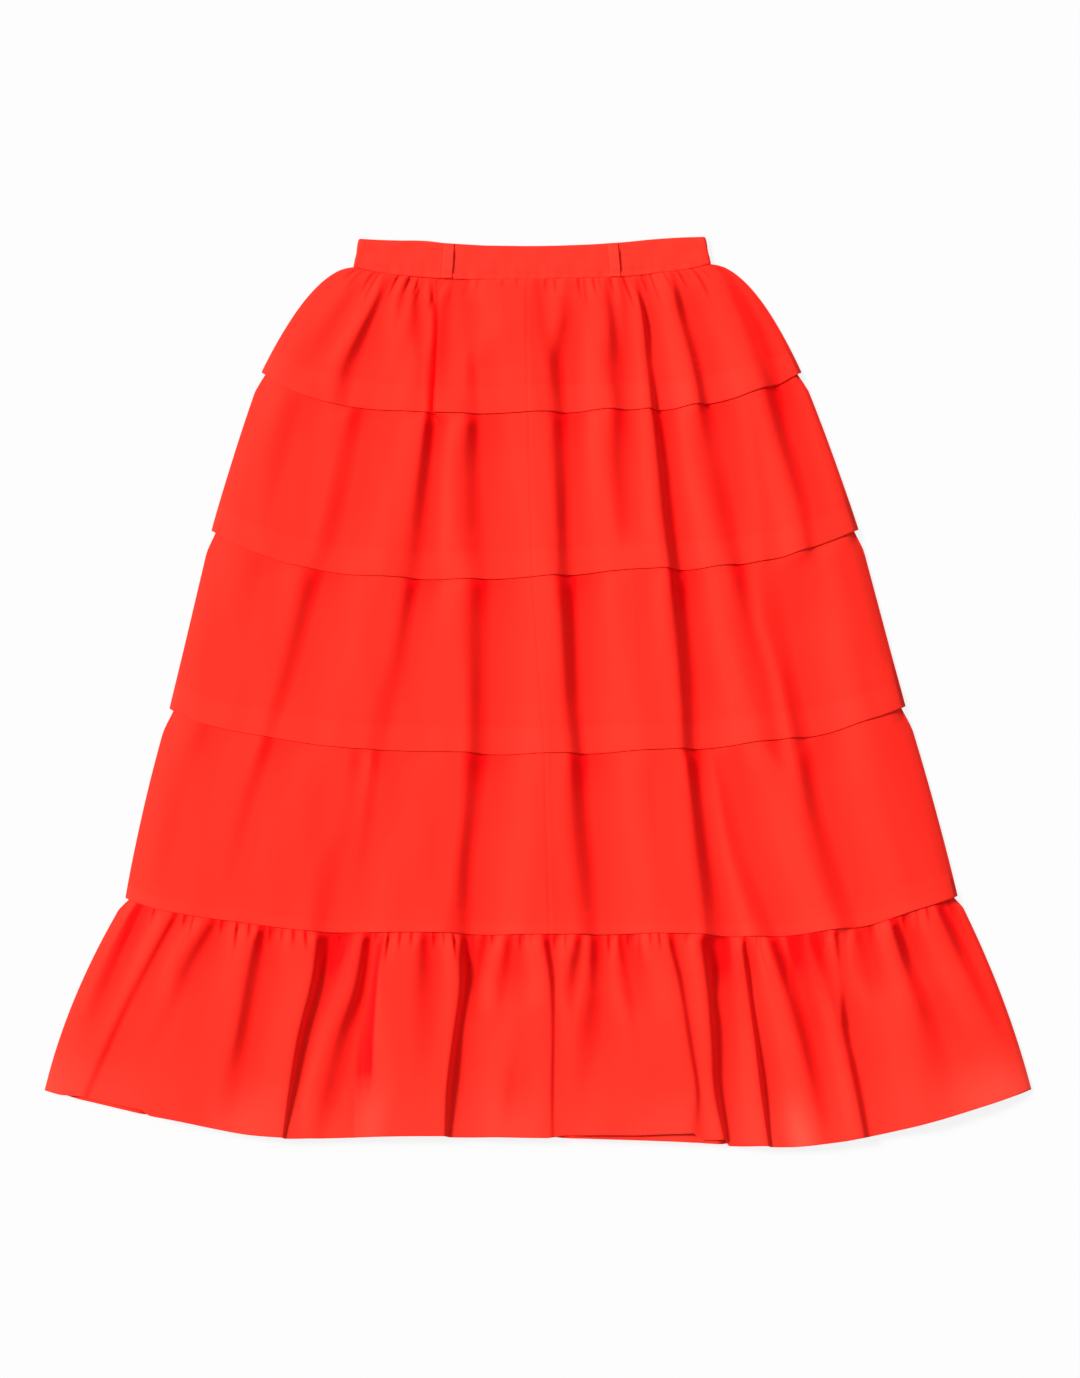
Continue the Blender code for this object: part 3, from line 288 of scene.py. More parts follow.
# Short gathers under the waist seam and under tier 4: place across, length down the cloth in millimetres, and
# how deep they are as a share of GATHER_DEPTH.
GATHERS = {tier: table(("across", "length", "depth"), rows) for tier, rows in {
    1: (
        (-0.952, 21, 0.35), (-0.925, 27, 0.45), (-0.868, 30, 0.4), (-0.843, 51, 0.55), (-0.815, 24, 0.45),
        (-0.742, 30, 0.5), (-0.678, 24, 0.45), (-0.628, 21, 0.45), (-0.606, 30, 0.5), (-0.526, 45, 0.55),
        (-0.492, 27, 0.45), (-0.42, 27, 0.45), (-0.362, 24, 0.35), (-0.3, 21, 0.3), (-0.16, 15, 0.22),
        (-0.08, 15, 0.22), (0.08, 21, 0.3), (0.13, 24, 0.35), (0.262, 27, 0.4), (0.29, 39, 0.45),
        (0.345, 24, 0.4), (0.375, 21, 0.4), (0.44, 24, 0.45), (0.512, 45, 0.6), (0.537, 27, 0.5),
        (0.62, 27, 0.5), (0.662, 54, 0.55), (0.7, 24, 0.45), (0.735, 24, 0.45), (0.815, 27, 0.45),
        (0.845, 21, 0.4), (0.888, 60, 0.55), (0.925, 27, 0.45),
    ),
    5: (
        (-0.925, 24, 0.45), (-0.85, 18, 0.45), (-0.832, 27, 0.45), (-0.762, 18, 0.4), (-0.725, 39, 0.6),
        (-0.695, 18, 0.4), (-0.645, 21, 0.4), (-0.618, 24, 0.45), (-0.59, 21, 0.45), (-0.562, 24, 0.45),
        (-0.48, 24, 0.45), (-0.452, 27, 0.45), (-0.392, 18, 0.4), (-0.363, 39, 0.55), (-0.335, 21, 0.4),
        (-0.308, 18, 0.4), (-0.255, 21, 0.4), (-0.232, 24, 0.45), (-0.209, 33, 0.6), (-0.115, 21, 0.45),
        (-0.048, 24, 0.45), (-0.022, 18, 0.4), (0.034, 18, 0.4), (0.06, 21, 0.45), (0.164, 30, 0.55),
        (0.21, 18, 0.4), (0.237, 39, 0.55), (0.262, 18, 0.4), (0.283, 21, 0.4), (0.345, 21, 0.45),
        (0.44, 27, 0.45), (0.462, 18, 0.4), (0.518, 21, 0.45), (0.618, 24, 0.45), (0.675, 21, 0.45),
        (0.728, 21, 0.45), (0.79, 21, 0.4), (0.812, 24, 0.45), (0.87, 21, 0.4), (0.9, 30, 0.5),
        (0.925, 21, 0.45), (0.983, 21, 0.4),
    ),
}.items()}

# The front ruffle's hem is this much shorter than the back's, which shows below it along two stretches.
PEEK_STATIONS = (-1.0, -0.965, -0.93, -0.80, -0.785, 0.02, 0.05, 0.20, 0.308, 0.322, 0.37, 0.385, 1.0)
PEEK_HEIGHTS = (0.0, 0.0, 0.003, 0.004, 0.0, 0.0, 0.003, 0.005, 0.009, 0.003, 0.005, 0.0, 0.0)
PEEK_FROM = 0.55          # the front is shortened over the rest of its length from this share on,
PEEK_FULL = 0.004         # and where it is this much shorter, the back's hem
PEEK_LIFT = 0.0090        # is held up this far, close under the front's,
PEEK_LIFT_FROM = 0.75     # from this share of the length on

# ---------------------------------------------------------------- the pressed back
# Creases of the back: place at the waist and at the hem, height, half width, and the share of each tier where
# they are at their highest.
BACK_CREASES = table(("top", "hem", "height", "wall", "peak"), (
    (-0.72, -0.76, 0.0015, 0.011, 0.55),
    (-0.46, -0.43, 0.0011, 0.014, 0.45),
    (-0.19, -0.22, 0.0015, 0.009, 0.60),
    (0.10, 0.07, 0.0012, 0.012, 0.50),
    (0.37, 0.41, 0.0015, 0.010, 0.40),
    (0.68, 0.73, 0.0010, 0.015, 0.55),
))
BACK_GATHERS = 26         # along the waist and again along the ruffle,
BACK_GATHER_SPAN = 0.94   # over this share of the width,
BACK_GATHER_UNEVEN = 0.25      # each up to this share of the space between two out of its place
BACK_GATHER_WALL = 0.005
BACK_GATHER_HEIGHT = 0.0013
BACK_GATHER_UP = 0.10     # it rises over this share of the tier
BACK_GATHER_DOWN = 0.12   # and dies away from this one on,
BACK_GATHER_REACH = (0.35, 0.25)       # over a share of about the first, give or take the second

# ---------------------------------------------------------------- grids
FRONT_SPACING = 0.00135   # between columns of the front
BACK_SPACING = 0.0045     # and of the back,
COUNTED_AT = 0.6          # where a tier is as wide as at this share of it;
EVEN_AT = 0.5             # the front's are evenly spaced at this one
TURN_POINTS = 3           # in the rounded fold at each side
ROW_ZONES = {             # (length of the zone, spacing of its rows), from the top down; None is what is left
    "top": ((0.034, 0.0022), (None, 0.0048), (FLAP, 0.0036), (0.002, 0.001)),
    "middle": ((0.014, 0.0022), (None, 0.0052), (FLAP, 0.0036), (0.002, 0.001)),
    "ruffle": ((0.030, 0.0024), (None, 0.0050), (0.010, 0.0022)),
}
HIDDEN_ROWS = 3           # of a tier's top, under the flap above


# ---------------------------------------------------------------- curves
def curve_through(stations, values, at):
    """Values of a smooth curve through the given points, without overshoot between them."""
    x, y, at = np.asarray(stations, float), np.asarray(values, float), np.asarray(at, float)
    step = np.diff(x)
    slope = np.diff(y) / step
    tangent = np.empty_like(y)
    tangent[0], tangent[-1] = slope[0], slope[-1]
    same_way = slope[:-1] * slope[1:] > 0
    weight = (step[1:] + 2 * step[:-1], step[:-1] + 2 * step[1:])
    with np.errstate(divide="ignore", invalid="ignore"):
        harmonic = (weight[0] + weight[1]) / (weight[0] / slope[:-1] + weight[1] / slope[1:])
    tangent[1:-1] = np.where(same_way, harmonic, 0.0)
    i = np.clip(np.searchsorted(x, at, side="right") - 1, 0, len(step) - 1)
    t = np.clip((at - x[i]) / step[i], 0, 1)
    return (y[i] * (1 + 2 * t) * (1 - t) ** 2 + y[i + 1] * t * t * (3 - 2 * t)
            + step[i] * (tangent[i] * t * (1 - t) ** 2 - tangent[i + 1] * t * t * (1 - t)))


def bump(distance, left, right=None):
    """1 at distance 0, falling smoothly to 0 at -left and at +right, or at +left if no right is given."""
    reach = np.where(distance < 0, left, left if right is None else right)
    return 0.5 + 0.5 * np.cos(np.pi * np.clip(np.abs(distance) / reach, 0, 1))


def within(t):
    """t itself, but at least 0 and at most 1."""
    return min(max(t, 0.0), 1.0)


def ease(t):
    """0 up to 0, 1 from 1 on, and smooth between."""
    t = np.clip(t, 0, 1)
    return t * t * (3 - 2 * t)


def fall(s, crest, floor):
    """How much of a fold's drop is behind at distance s from its steepest place: 0 at its crest, 1 on its
    floor."""
    before, after = np.clip(s / crest, -1, 0), np.clip(s / floor, 0, 1)
    down_to_middle = crest * (1 + before + np.sin(np.pi * before) / np.pi)
    from_middle = floor * (after + np.sin(np.pi * after) / np.pi)
    return (down_to_middle + from_middle) / (crest + floor)


def waves(rows, across, down):
    """The sum of a table's waves."""
    total = np.zeros(len(across))
    for row in rows:
        total += row["height"] * np.sin(row["across"] * across + row["down"] * down + row["start"])
    return total


def evened_out(values, places, reach):
    """Values along a line, each the mean of those up to "reach" to both sides, the nearest counting most."""
    even = np.linspace(places[0], places[-1], 500)
    count = int(reach / (even[1] - even[0]))
    window = np.hanning(2 * count + 3)[1:-1]
    padded = np.pad(np.interp(even, places, values), count, mode="edge")
    return np.interp(places, even, np.convolve(padded, window / window.sum(), "valid"))


def along(value, f):
    """A fold's value at share f of its tier's length."""
    if not isinstance(value, tuple):
        return value
    return float(curve_through(np.linspace(0, 1, len(value)), value, f))


# ---------------------------------------------------------------- the plan: where cloth lies in X and Y
def half_width(down):
    """Half the skirt's width at one line, without the bow of its sides."""
    return 0.5 * np.interp(down, range(len(LINES)), [line["right"] - line["left"] for line in LINES])


def bow(down):
    """How far the left and right side edges bow out at one line."""
    for row in BOWS:
        f = down - row["down"]
        if 0 <= f <= 1:
            shape = f ** row["power"] - f if "power" in row else f * (1 - f)
            return row["left"] * shape, row["right"] * shape
    return 0.0, 0.0


def at_edges(across):
    """-1 at the left side edge and +1 at the right one, and almost 0 away from them."""
    return np.sign(across) * np.abs(across) ** STEP_REACH


def plan(across, down):
    """X and Y of points across the skirt at one line down it."""
    upper = min(int(down), len(LINES) - 2)
    f = down - upper
    a, b = LINES[upper], LINES[upper + 1]
    left = a["left"] + f * (b["left"] - a["left"])
    right = a["right"] + f * (b["right"] - a["right"])
    bow_left, bow_right = bow(down)
    x = left + (right - left) * (across + 1) / 2
    x = x + np.where(across < 0, -bow_left, bow_right) * np.abs(across) ** BOW_REACH
    x = x - EDGE_INSET * at_edges(across)
    y = (1 - f) * curve_through(STATIONS, a["y"], across) + f * curve_through(STATIONS, b["y"], across)
    return x, y


def length_of(tier):
    """Length of a tier from its top line to its hem, down the middle."""
    middle = STATIONS.index(0.0)
    return LINES[tier]["y"][middle] - LINES[tier + 1]["y"][middle]


def flap_of(tier):
    """The hem flap's share of a tier's own length."""
    width = RUFFLE_FLAP if tier + 1 == TIER4_HEM else FLAP
    return width / length_of(tier)


def step_in(tier, across, down):
    """How far points are drawn in towards the middle, at the sides of a tier's top."""
    size, over = SIDE_STEP, EMERGE if tier < TIER4_HEM else EMERGE / 2
    if tier == WAIST_SEAM:
        size, over = WAIST_SIDE_STEP, WAIST_STEP
    return size * (1 - within((down - tier) / over)) * at_edges(across)


# ---------------------------------------------------------------- the heights of the front
def folds_of(tier, f):
    """The folds that cross one line of a tier from left to right, each as a dict of its values there: also
    its place ("at"), the drop of its wall, and the place up to which the cloth rises behind it ("until")."""
    lapping = ease(f / LAP_START) if tier in GATHERS else 1.0
    width = half_width(tier + f)
    found = []
    for fold in FOLDS[tier]:
        slope = along(fold["slope"], f)
        if slope <= 0:
            continue
        here = {key: MM * along(fold.get(key, 0), f) for key in ("crest", "floor", "lap", "close")}
        here["weight"] = float(ease(slope / FULL_SLOPE))
        here["lap"] *= lapping * here["weight"]
        here["at"] = along(fold["across"], f) * width - here["lap"] / 2
        here["drop"] = math.tan(math.radians(slope)) * (here["crest"] + here["floor"]) / 2
        here["notch"] = 0.0
        if here["close"] > 0:
            here["notch"] = within((CLOSING[1] - here["close"]) / (CLOSING[1] - CLOSING[0]))
        found.append(here)
    found.sort(key=lambda fold: fold["at"])
    until = width
    for fold in reversed(found):
        fold["until"] = until
        until += fold["weight"] * (fold["at"] - fold["crest"] - until)
    return found


def gathered(tier, across, f, room):
    """How far the short gathers dip at one line, where the cloth is "room" high."""
    dip = np.zeros(len(across))
    for gather in GATHERS.get(tier, ()):
        size = gather["depth"] * (1 - ease(f * length_of(tier) / (MM * gather["length"])))
        place = gather["across"] * (1 - GATHER_DRIFT * f)
        near = (across - place) * half_width(tier + f)
        dip = np.maximum(dip, size * bump(near, *GATHER_WALL))
    return np.minimum(dip * GATHER_DEPTH, GATHER_ROOM * room)


def crown_of(tier, f):
    """Height of the lobes above the floor at one line of a tier."""
    if tier == WAIST_SEAM:
        return WAIST_CROWN + (CROWN - WAIST_CROWN) * (1 - math.exp(-f * length_of(tier) / WAIST_SWELL))
    if tier == TIER4_HEM:
        return RUFFLE_CROWN + (RUFFLE_HEM_CROWN - RUFFLE_CROWN) * f
    return CROWN


def side_height(tier, down):
    """Height of the back's middle surface at its side edges.  A tier's top lies on the hem flap above it."""
    lift = LAYER if tier > WAIST_SEAM else 0.0
    return BACK_MIDDLE + lift * (1 - within((down - tier) / EMERGE))


def floor_of(tier, f):
    """Height of the front's lowest places at one line.  It steps up where the hem lies on the next tier."""
    if tier == TIER4_HEM:
        return FRONT_FLOOR
    flap = flap_of(tier)
    on_flap = ease((f - (1 - 2 * flap)) / flap)
    lifted = ease((f - (1 - flap)) / flap)
    return FRONT_FLOOR + LAYER * on_flap + FLAP_LIFT * lifted


def seam_across(down):
    """Where the seam down the middle of the front lies at one line."""
    return np.interp(down, range(WAIST_SEAM, RUFFLE_HEM + 1), CENTRE_SEAM)


def along_the_folds(tier, across, f, other):
    """Where places across one line of a tier come to lie at another one, followed along its steep folds."""
    guides = [fold["across"] for fold in FOLDS[tier] if fold.get("lap", 0) != 0]
    here = [-1.0, *(along(places, f) for places in guides), 1.0]
    there = [-1.0, *(along(places, other) for places in guides), 1.0]
    return np.interp(across, here, there)


def folded(tier, across, f):
    """The front's lie by its own folds at one line: its height above the floor, how far it is drawn sideways,
    the height of low crests, and where the rims of laps get painted shade.  Cloth bends gently lengthwise, so
    this is a mean over a short length."""
    near = [within(f + i * BEND / length_of(tier)) for i in (-1.5, -0.5, 0.5, 1.5)]
    lies = [folded_at(tier, along_the_folds(tier, across, f, one), one) for one in near]
    body, shift, crest, rim_shade = np.mean(lies, axis=0)
    return body - gathered(tier, across, f, body), shift, crest, rim_shade


def folded_at(tier, across, f):
    """The same at exactly one line.  "level" is the cloth's height behind the folds passed so far."""
    width = half_width(tier + f)
    crown = crown_of(tier, f)
    body = np.full(len(across), crown)
    level = crown
    shift, crest, rim_shade = (np.zeros(len(across)) for _ in range(3))
    bouncing = 1 - ease(f / GATHERED_SHARE) if tier in GATHERS else 0.0
    rise_slope = RISE_SLOPE + bouncing * (GATHERED_RISE_SLOPE - RISE_SLOPE)
    widest = RISE_WIDTH[1] + bouncing * (GATHERED_RISE_WIDTH - RISE_WIDTH[1])
    for fold in folds_of(tier, f):
        s = across * width - fold["at"]
        drop = min(fold["drop"], level)
        room = max(fold["until"] - fold["at"] - fold["floor"], RISE_WIDTH[0])
        wide = min(room, widest)
        slowly = min(crown - level + drop, rise_slope * wide * min(room / RISE_ROOM, 1.0))
        regain = slowly + fold["notch"] * (drop - slowly)
        span = wide + fold["notch"] * (fold["close"] - wide)
        risen = ease(np.clip((s - fold["floor"]) / span, 0, 1) ** RISE_POWER)
        body = body - drop * fall(s, fold["crest"], fold["floor"]) + regain * risen
        level += regain - drop
        if fold["lap"] > 0:
            over = s + fold["crest"]
            shift += fold["lap"] * bump(over, LAP_REACH, fold["crest"] + fold["floor"])
            crest += CREST * fold["weight"] * bump(over, CREST_WALL, fold["crest"])
        if fold["lap"] < 0:
            over = s - fold["floor"] - fold["close"]
            shift += fold["lap"] * bump(over, fold["close"], LAP_REACH)
            # painted shade along the rim of a lap, which darkens its lit edge
            rim_shade += fold["weight"] * bump(over, RIM_SHADE_REACH * fold["close"], RIM_SHADE_WIDTH)
    body = np.maximum(body, 0.0) * (1 + waves(SWELLS, across + SWELL_SHIFT * tier, f))
    return body, shift, crest, rim_shade


def peek(across):
    """How far the back's hem shows below the front's."""
    return np.interp(across, PEEK_STATIONS, PEEK_HEIGHTS)


def own_row(tier, across, f):
    """X, Y and Z of a front tier's middle surface by its own folds, at one line."""
    down = tier + f
    width = half_width(down)
    edge = (1 - np.abs(across)) * width
    rise = 1 - np.exp(-np.maximum(edge - SIDE_TURN, 0) / SIDE_ROUND)
    crown = crown_of(tier, f)
    body, shift, crest, _ = folded(tier, across, f)
    body = rise * body
    if tier < TIER4_HEM:
        off = np.abs(across - seam_across(down)) * width
        ridge = SEAM_RIDGE * bump(off - SEAM_RIDGE_PLACE, SEAM_RIDGE_PLACE)
        groove = SEAM_GROOVE * bump(off, SEAM_GROOVE_WIDTH)
        from_stitches = (f - (1 - flap_of(tier))) * length_of(tier)
        dent = STITCH_DENT * bump(from_stitches, STITCH_DENT_WIDTH)
        body = body + (ridge - groove) * crown / CROWN - dent
    height = floor_of(tier, f) + body + crest * rise * crown / CROWN
    turned = side_height(tier, down) + LAYER
    z = turned + (height - turned) * ease(edge / SIDE_TURN)
    x, y = plan(across, down)
    mean = floor_of(tier, f) + LOBE_MEAN * crown * rise
    pull = HEM_PULL * ease((f - 1 + HEM_PULL_REACH) / HEM_PULL_REACH)
    y = y + pull * (z - mean) * ease(edge / SIDE_ROUND)
    if tier == TIER4_HEM:
        y = y + peek(across) * ease((f - PEEK_FROM) / (1 - PEEK_FROM))
    return x + shift * rise, y, z


def cloth_normals(x, z):
    """Upward unit normals of a row of points, seen end on."""
    dx, dz = np.gradient(x), np.gradient(z)
    size = np.hypot(dx, dz)
    return -dz / size, dx / size


def underside(tier, across, f):
    """Where the next tier's cloth lies beneath this front tier: its row moved in by one layer."""
    x, y, z = own_row(tier, across, f)
    nx, nz = cloth_normals(x, z)
    return x - LAYER * nx, y, z - LAYER * nz


def front_row(tier, across, down):
    """X, Y and Z of a front tier at one line, also where it hides under the flap or the waistband above."""
    x, y, z = tier1_row(across, down) if tier == WAIST_SEAM else lower_tier_row(tier, across, down)
    return x - step_in(tier, across, down), y, z


def tier1_row(across, down):
    """The same for tier 1 only, whose top is tucked into the waistband, and before its sides are drawn in."""
    f = down - WAIST_SEAM
    tucked = band_middle(across) - BAND_WALL / 2 - TUCK_GAP
    if f < 0:
        x, y = plan(across, down)
        return x, y, tucked
    x, y, z = own_row(WAIST_SEAM, across, f)
    return x, y, tucked + (z - tucked) * ease(f * length_of(WAIST_SEAM) / WAIST_LEAVE)


def lower_tier_row(tier, across, down):
    """The same for the other tiers.  The top follows the underside of the tier above, and from its hem on the
    cloth settles into its own folds: soon into each fold, and more slowly into its lie as a whole."""
    f = down - tier
    below = f * length_of(tier)
    if f < 0:
        x, y, z = underside(tier - 1, across, 1 + f)
    else:
        x, y, z = own_row(tier, across, f)
    if 0 <= below < UNDER_SETTLE:
        left = ease(below / UNDER_BLEND[tier])
        hem_x, hem_y, hem_z = underside(tier - 1, across, 1.0)
        top_x, top_y = plan(across, float(tier))
        own_x = plan(across, down)[0]
        x = own_x + (1 - left) * (hem_x - top_x) + left * (x - own_x)
        y = y + (1 - left) * (hem_y - top_y)
        step = hem_z - own_row(tier, across, 0.0)[2]
        broad = evened_out(step, across * half_width(down), UNDER_WIDE)
        lowest = np.minimum(z, hem_z)
        z = z + (1 - ease(below / UNDER_SETTLE)) * broad + (1 - left) * (step - broad)
        z = np.maximum(z, lowest)
    edge = (1 - np.abs(across)) * half_width(down)
    edge_low = side_height(tier, down) + LAYER
    z = np.where(edge < SIDE_TURN, np.maximum(z, edge_low), z)
    z[0] = z[-1] = edge_low
    return x, y, z


def front_columns(tier, f):
    """Places across of a front tier's columns at one line: they follow its steep folds down."""
    count = int(2 * half_width(tier + COUNTED_AT) / FRONT_SPACING)
    return along_the_folds(tier, np.linspace(-1, 1, count), EVEN_AT, f)


def rows_down(tier):
    """The lines at which a tier has points, as its hidden rows' and visible rows' values of "down"."""
    kind = {WAIST_SEAM: "top", TIER4_HEM: "ruffle"}.get(tier, "middle")
    length = length_of(tier)
    fixed = sum(size for size, spacing in ROW_ZONES[kind] if size is not None)
    at, found = 0.0, [0.0]
    for size, spacing in ROW_ZONES[kind]:
        size = length - fixed if size is None else size
        count = max(1, round(size / spacing))
        found += [at + size * i / count for i in range(1, count + 1)]
        at += size
    visible = [tier + distance / length for distance in found]
    if tier == WAIST_SEAM:
        hidden = [tier - TUCK / length_of(0)]
    else:
        flap = flap_of(tier - 1)
        hidden = [tier - flap * (1 - i / HIDDEN_ROWS) for i in range(HIDDEN_ROWS)]
    return hidden + visible


# ---------------------------------------------------------------- the back
def back_rise(tier, across, down):
    """How far the back's creases and gathers rise off the surface that the skirt lies on."""
    f = within(down - tier)
    whole = (down - WAIST_SEAM) / (RUFFLE_HEM - WAIST_SEAM)
    width = half_width(down)
    rise = np.zeros(len(across))
    for crease in BACK_CREASES:
        place = crease["top"] + whole * (crease["hem"] - crease["top"])
        swell = bump(f - crease["peak"], crease["peak"], 1 - crease["peak"])
        if tier == TIER4_HEM:
            swell = ease(f / crease["peak"])
        size = crease["height"] * swell
        rise = np.maximum(rise, size * bump((across - place) * width, crease["wall"]))
    if tier in (WAIST_SEAM, TIER4_HEM):
        for i in range(BACK_GATHERS):
            unevenly = i + 0.5 + BACK_GATHER_UNEVEN * math.sin(2.6 * i)
            place = BACK_GATHER_SPAN * (2 * unevenly / BACK_GATHERS - 1)
            reach = BACK_GATHER_REACH[0] + BACK_GATHER_REACH[1] * math.sin(1.9 * i + 1.0)
            size = BACK_GATHER_HEIGHT * ease(f / BACK_GATHER_UP) * (1 - ease((f - BACK_GATHER_DOWN) / reach))
            rise = np.maximum(rise, size * bump((across - place) * width, BACK_GATHER_WALL))
    return rise * ease((1 - np.abs(across)) * width / SIDE_ROUND)


def back_row(tier, across, down):
    """X, Y and Z of a tier's back at one line."""
    x, y = plan(across, down)
    z = np.maximum(BACK_MIDDLE + back_rise(tier, across, down), side_height(tier, down))
    if tier == TIER4_HEM:
        showing = ease(peek(across) / PEEK_FULL)
        lifted = PEEK_LIFT * showing * ease((down - tier - PEEK_LIFT_FROM) / (1 - PEEK_LIFT_FROM))
        z = np.minimum(z + lifted, np.maximum(z, own_row(tier, across, min(down - tier, 1.0))[2] - LAYER))
    if tier == WAIST_SEAM:
        tucked = BAND_WALL + CLOTH
        z = tucked + (z - tucked) * ease((down - tier) * length_of(tier) / WAIST_LEAVE)
    if tier < TIER4_HEM:
        y = y + BACK_HEM_LIFT * ease((down - tier - BACK_HEM_FROM) / (1 - BACK_HEM_FROM))
    return x - step_in(tier, across, down), y, z


# ---------------------------------------------------------------- making meshes
def side_turn(above, below, outward):
    """Points of the rounded fold that joins two layers at a side edge, from the upper to the lower one."""
    middle, half = (above + below) / 2, (above - below) / 2
    out = np.zeros(above.shape)
    out[:, 0] = outward * np.linalg.norm(half, axis=1)
    turns = [math.pi * (i + 1) / (TURN_POINTS + 1) for i in range(TURN_POINTS)]
    return np.stack([middle + half * math.cos(t) + out * math.sin(t) for t in turns], axis=1)


def tube_around(front, back):
    """A tube's middle surface, rows by columns around it: across the front, round the right fold, back across
    the back and round the left fold."""
    right = side_turn(front[:, -1], back[:, -1], 1.0)
    left = side_turn(front[:, 0], back[:, 0], -1.0)
    return np.concatenate([front, right, back[:, ::-1], left[:, ::-1]], axis=1)


def unit(vectors):
    """The same vectors with length 1."""
    return vectors / np.maximum(np.linalg.norm(vectors, axis=-1, keepdims=True), 1e-12)


def surface_normals(points):
    """Outward normals of a tube's rows and columns."""
    around = np.roll(points, -1, axis=1) - np.roll(points, 1, axis=1)
    lengthwise = np.gradient(points, axis=0)
    return unit(np.cross(lengthwise, around))


def link(obj):
    """Puts an object into the scene."""
    bpy.context.scene.collection.objects.link(obj)
    return obj


def mesh_object(name, points, faces, material):
    """An object with a smooth-shaded mesh."""
    mesh = bpy.data.meshes.new(name)
    mesh.from_pydata(points.tolist(), [], faces)
    mesh.materials.append(material)
    mesh.shade_smooth()
    mesh.validate()
    return link(bpy.data.objects.new(name, mesh))


def add_tint(obj, name, values):
    """Gives the material a number for every point of an object."""
    attribute = obj.data.attributes.new(name, "FLOAT", "POINT")
    attribute.data.foreach_set("value", values.astype(np.float32))


def shell_object(name, middle, thickness, material, **tints):
    """A closed thin shell around a tube's middle surface, with rounded edges at its top and its hem.  Each
    tint has a number for every point of that surface."""
    rows, columns = middle.shape[:2]
    normal = surface_normals(middle)
    half = thickness / 2
    lengthwise = unit(np.gradient(middle, axis=0))
    layers = [middle + normal * half, middle - normal * half]
    top = middle[:1] - lengthwise[:1] * half
    hem = middle[-1:] + lengthwise[-1:] * half
    points = np.concatenate([*(layer.reshape(-1, 3) for layer in layers), top[0], hem[0]])

    index = np.arange(rows * columns).reshape(rows, columns)
    inner = index + rows * columns
    top_ring = 2 * rows * columns + np.arange(columns)
    hem_ring = top_ring + columns

    def strip(upper, lower):
        after = (np.roll(upper, -1), np.roll(lower, -1))
        return np.stack([upper, lower, after[1], after[0]], axis=1)

    quads = [strip(index[r], index[r + 1]) for r in range(rows - 1)]
    quads += [strip(inner[r + 1], inner[r]) for r in range(rows - 1)]
    quads += [strip(inner[0], top_ring), strip(top_ring, index[0])]
    quads += [strip(index[-1], hem_ring), strip(hem_ring, inner[-1])]
    obj = mesh_object(name, points, np.concatenate(quads).tolist(), material)
    for tint, values in tints.items():
        add_tint(obj, tint, np.concatenate([values.ravel(), values.ravel(), values[0], values[-1]]))
    return obj


# ---------------------------------------------------------------- painted shade in the folds, and the cloth's paler tone and painted light
SHADE_REACH = 0.045       # painted shade: a place's height is compared with the cloth's up to this far around it;
SHADE_FULL_DROP = 0.0045       # this much lower is a deep valley, with full painted shade
SHADE_STEEP_SLOPE = 0.60        # a wall is steep that falls this much for each metre across, away from the light, and gets full painted shade
LOW_SHADE_WEIGHT, STEEP_SHADE_WEIGHT = 0.5, 0.6
UNDER_HEM_PAINTED_SHADE = 0.7    # valleys get this much more painted shade just below the hem above, as its shadow,
UNDER_HEM_SHADE_REACH = 0.060   # less and less over this length
HEM_PAINTED_LIGHT = 0.06       # painted light on a hem flap, which tilts towards the light,
HEM_PAINTED_LIGHT_EDGE = 0.012      # reached over this length
RUFFLE_PAINTED_LIGHT = 0.14    # painted light at the ruffle's hem, where the glowing table shows through its sheer cloth,
RUFFLE_PAINTED_LIGHT_FROM = 0.60   # beginning at this share of its length,
PAINTED_LIGHT_SPOTS_FROM = 0.70    # and at this one where it is palest
BAND_PALENESS = 0.16
LOOP_PALENESS = 0.30
SPOT_COLUMNS = ("across", "wall", "amount")
# Painted shade over recessed stretches at the ruffle's top: place across, width and amount.
RUFFLE_PAINTED_HOLLOW_SHADE = table(SPOT_COLUMNS, (
    (-0.470, 0.055, 0.55), (-0.160, 0.030, 0.35), (0.430, 0.045, 0.50), (0.620, 0.075, 0.50),
))
HOLLOW_SHADE_REACH = 0.7        # their painted shade is darkest at the ruffle's top and ends at this share of its length
# Painted light along the ruffle's hem, as spots on its lit left edge and where the glowing table shows
# through: place across, width and amount.
PAINTED_LIGHT_SPOTS = table(SPOT_COLUMNS, (
    (-0.98, 0.20, 0.20), (-0.60, 0.10, 0.30), (-0.34, 0.05, 0.40), (-0.05, 0.08, 0.25),
    (0.26, 0.10, 0.15), (0.535, 0.045, 0.80), (0.98, 0.24, 0.60),
))


def spots(rows, across):
    """The sum of a table's spots, each strongest at its place and gone a wall's width from it."""
    return sum(row["amount"] * bump(across - row["across"], row["wall"]) for row in rows)


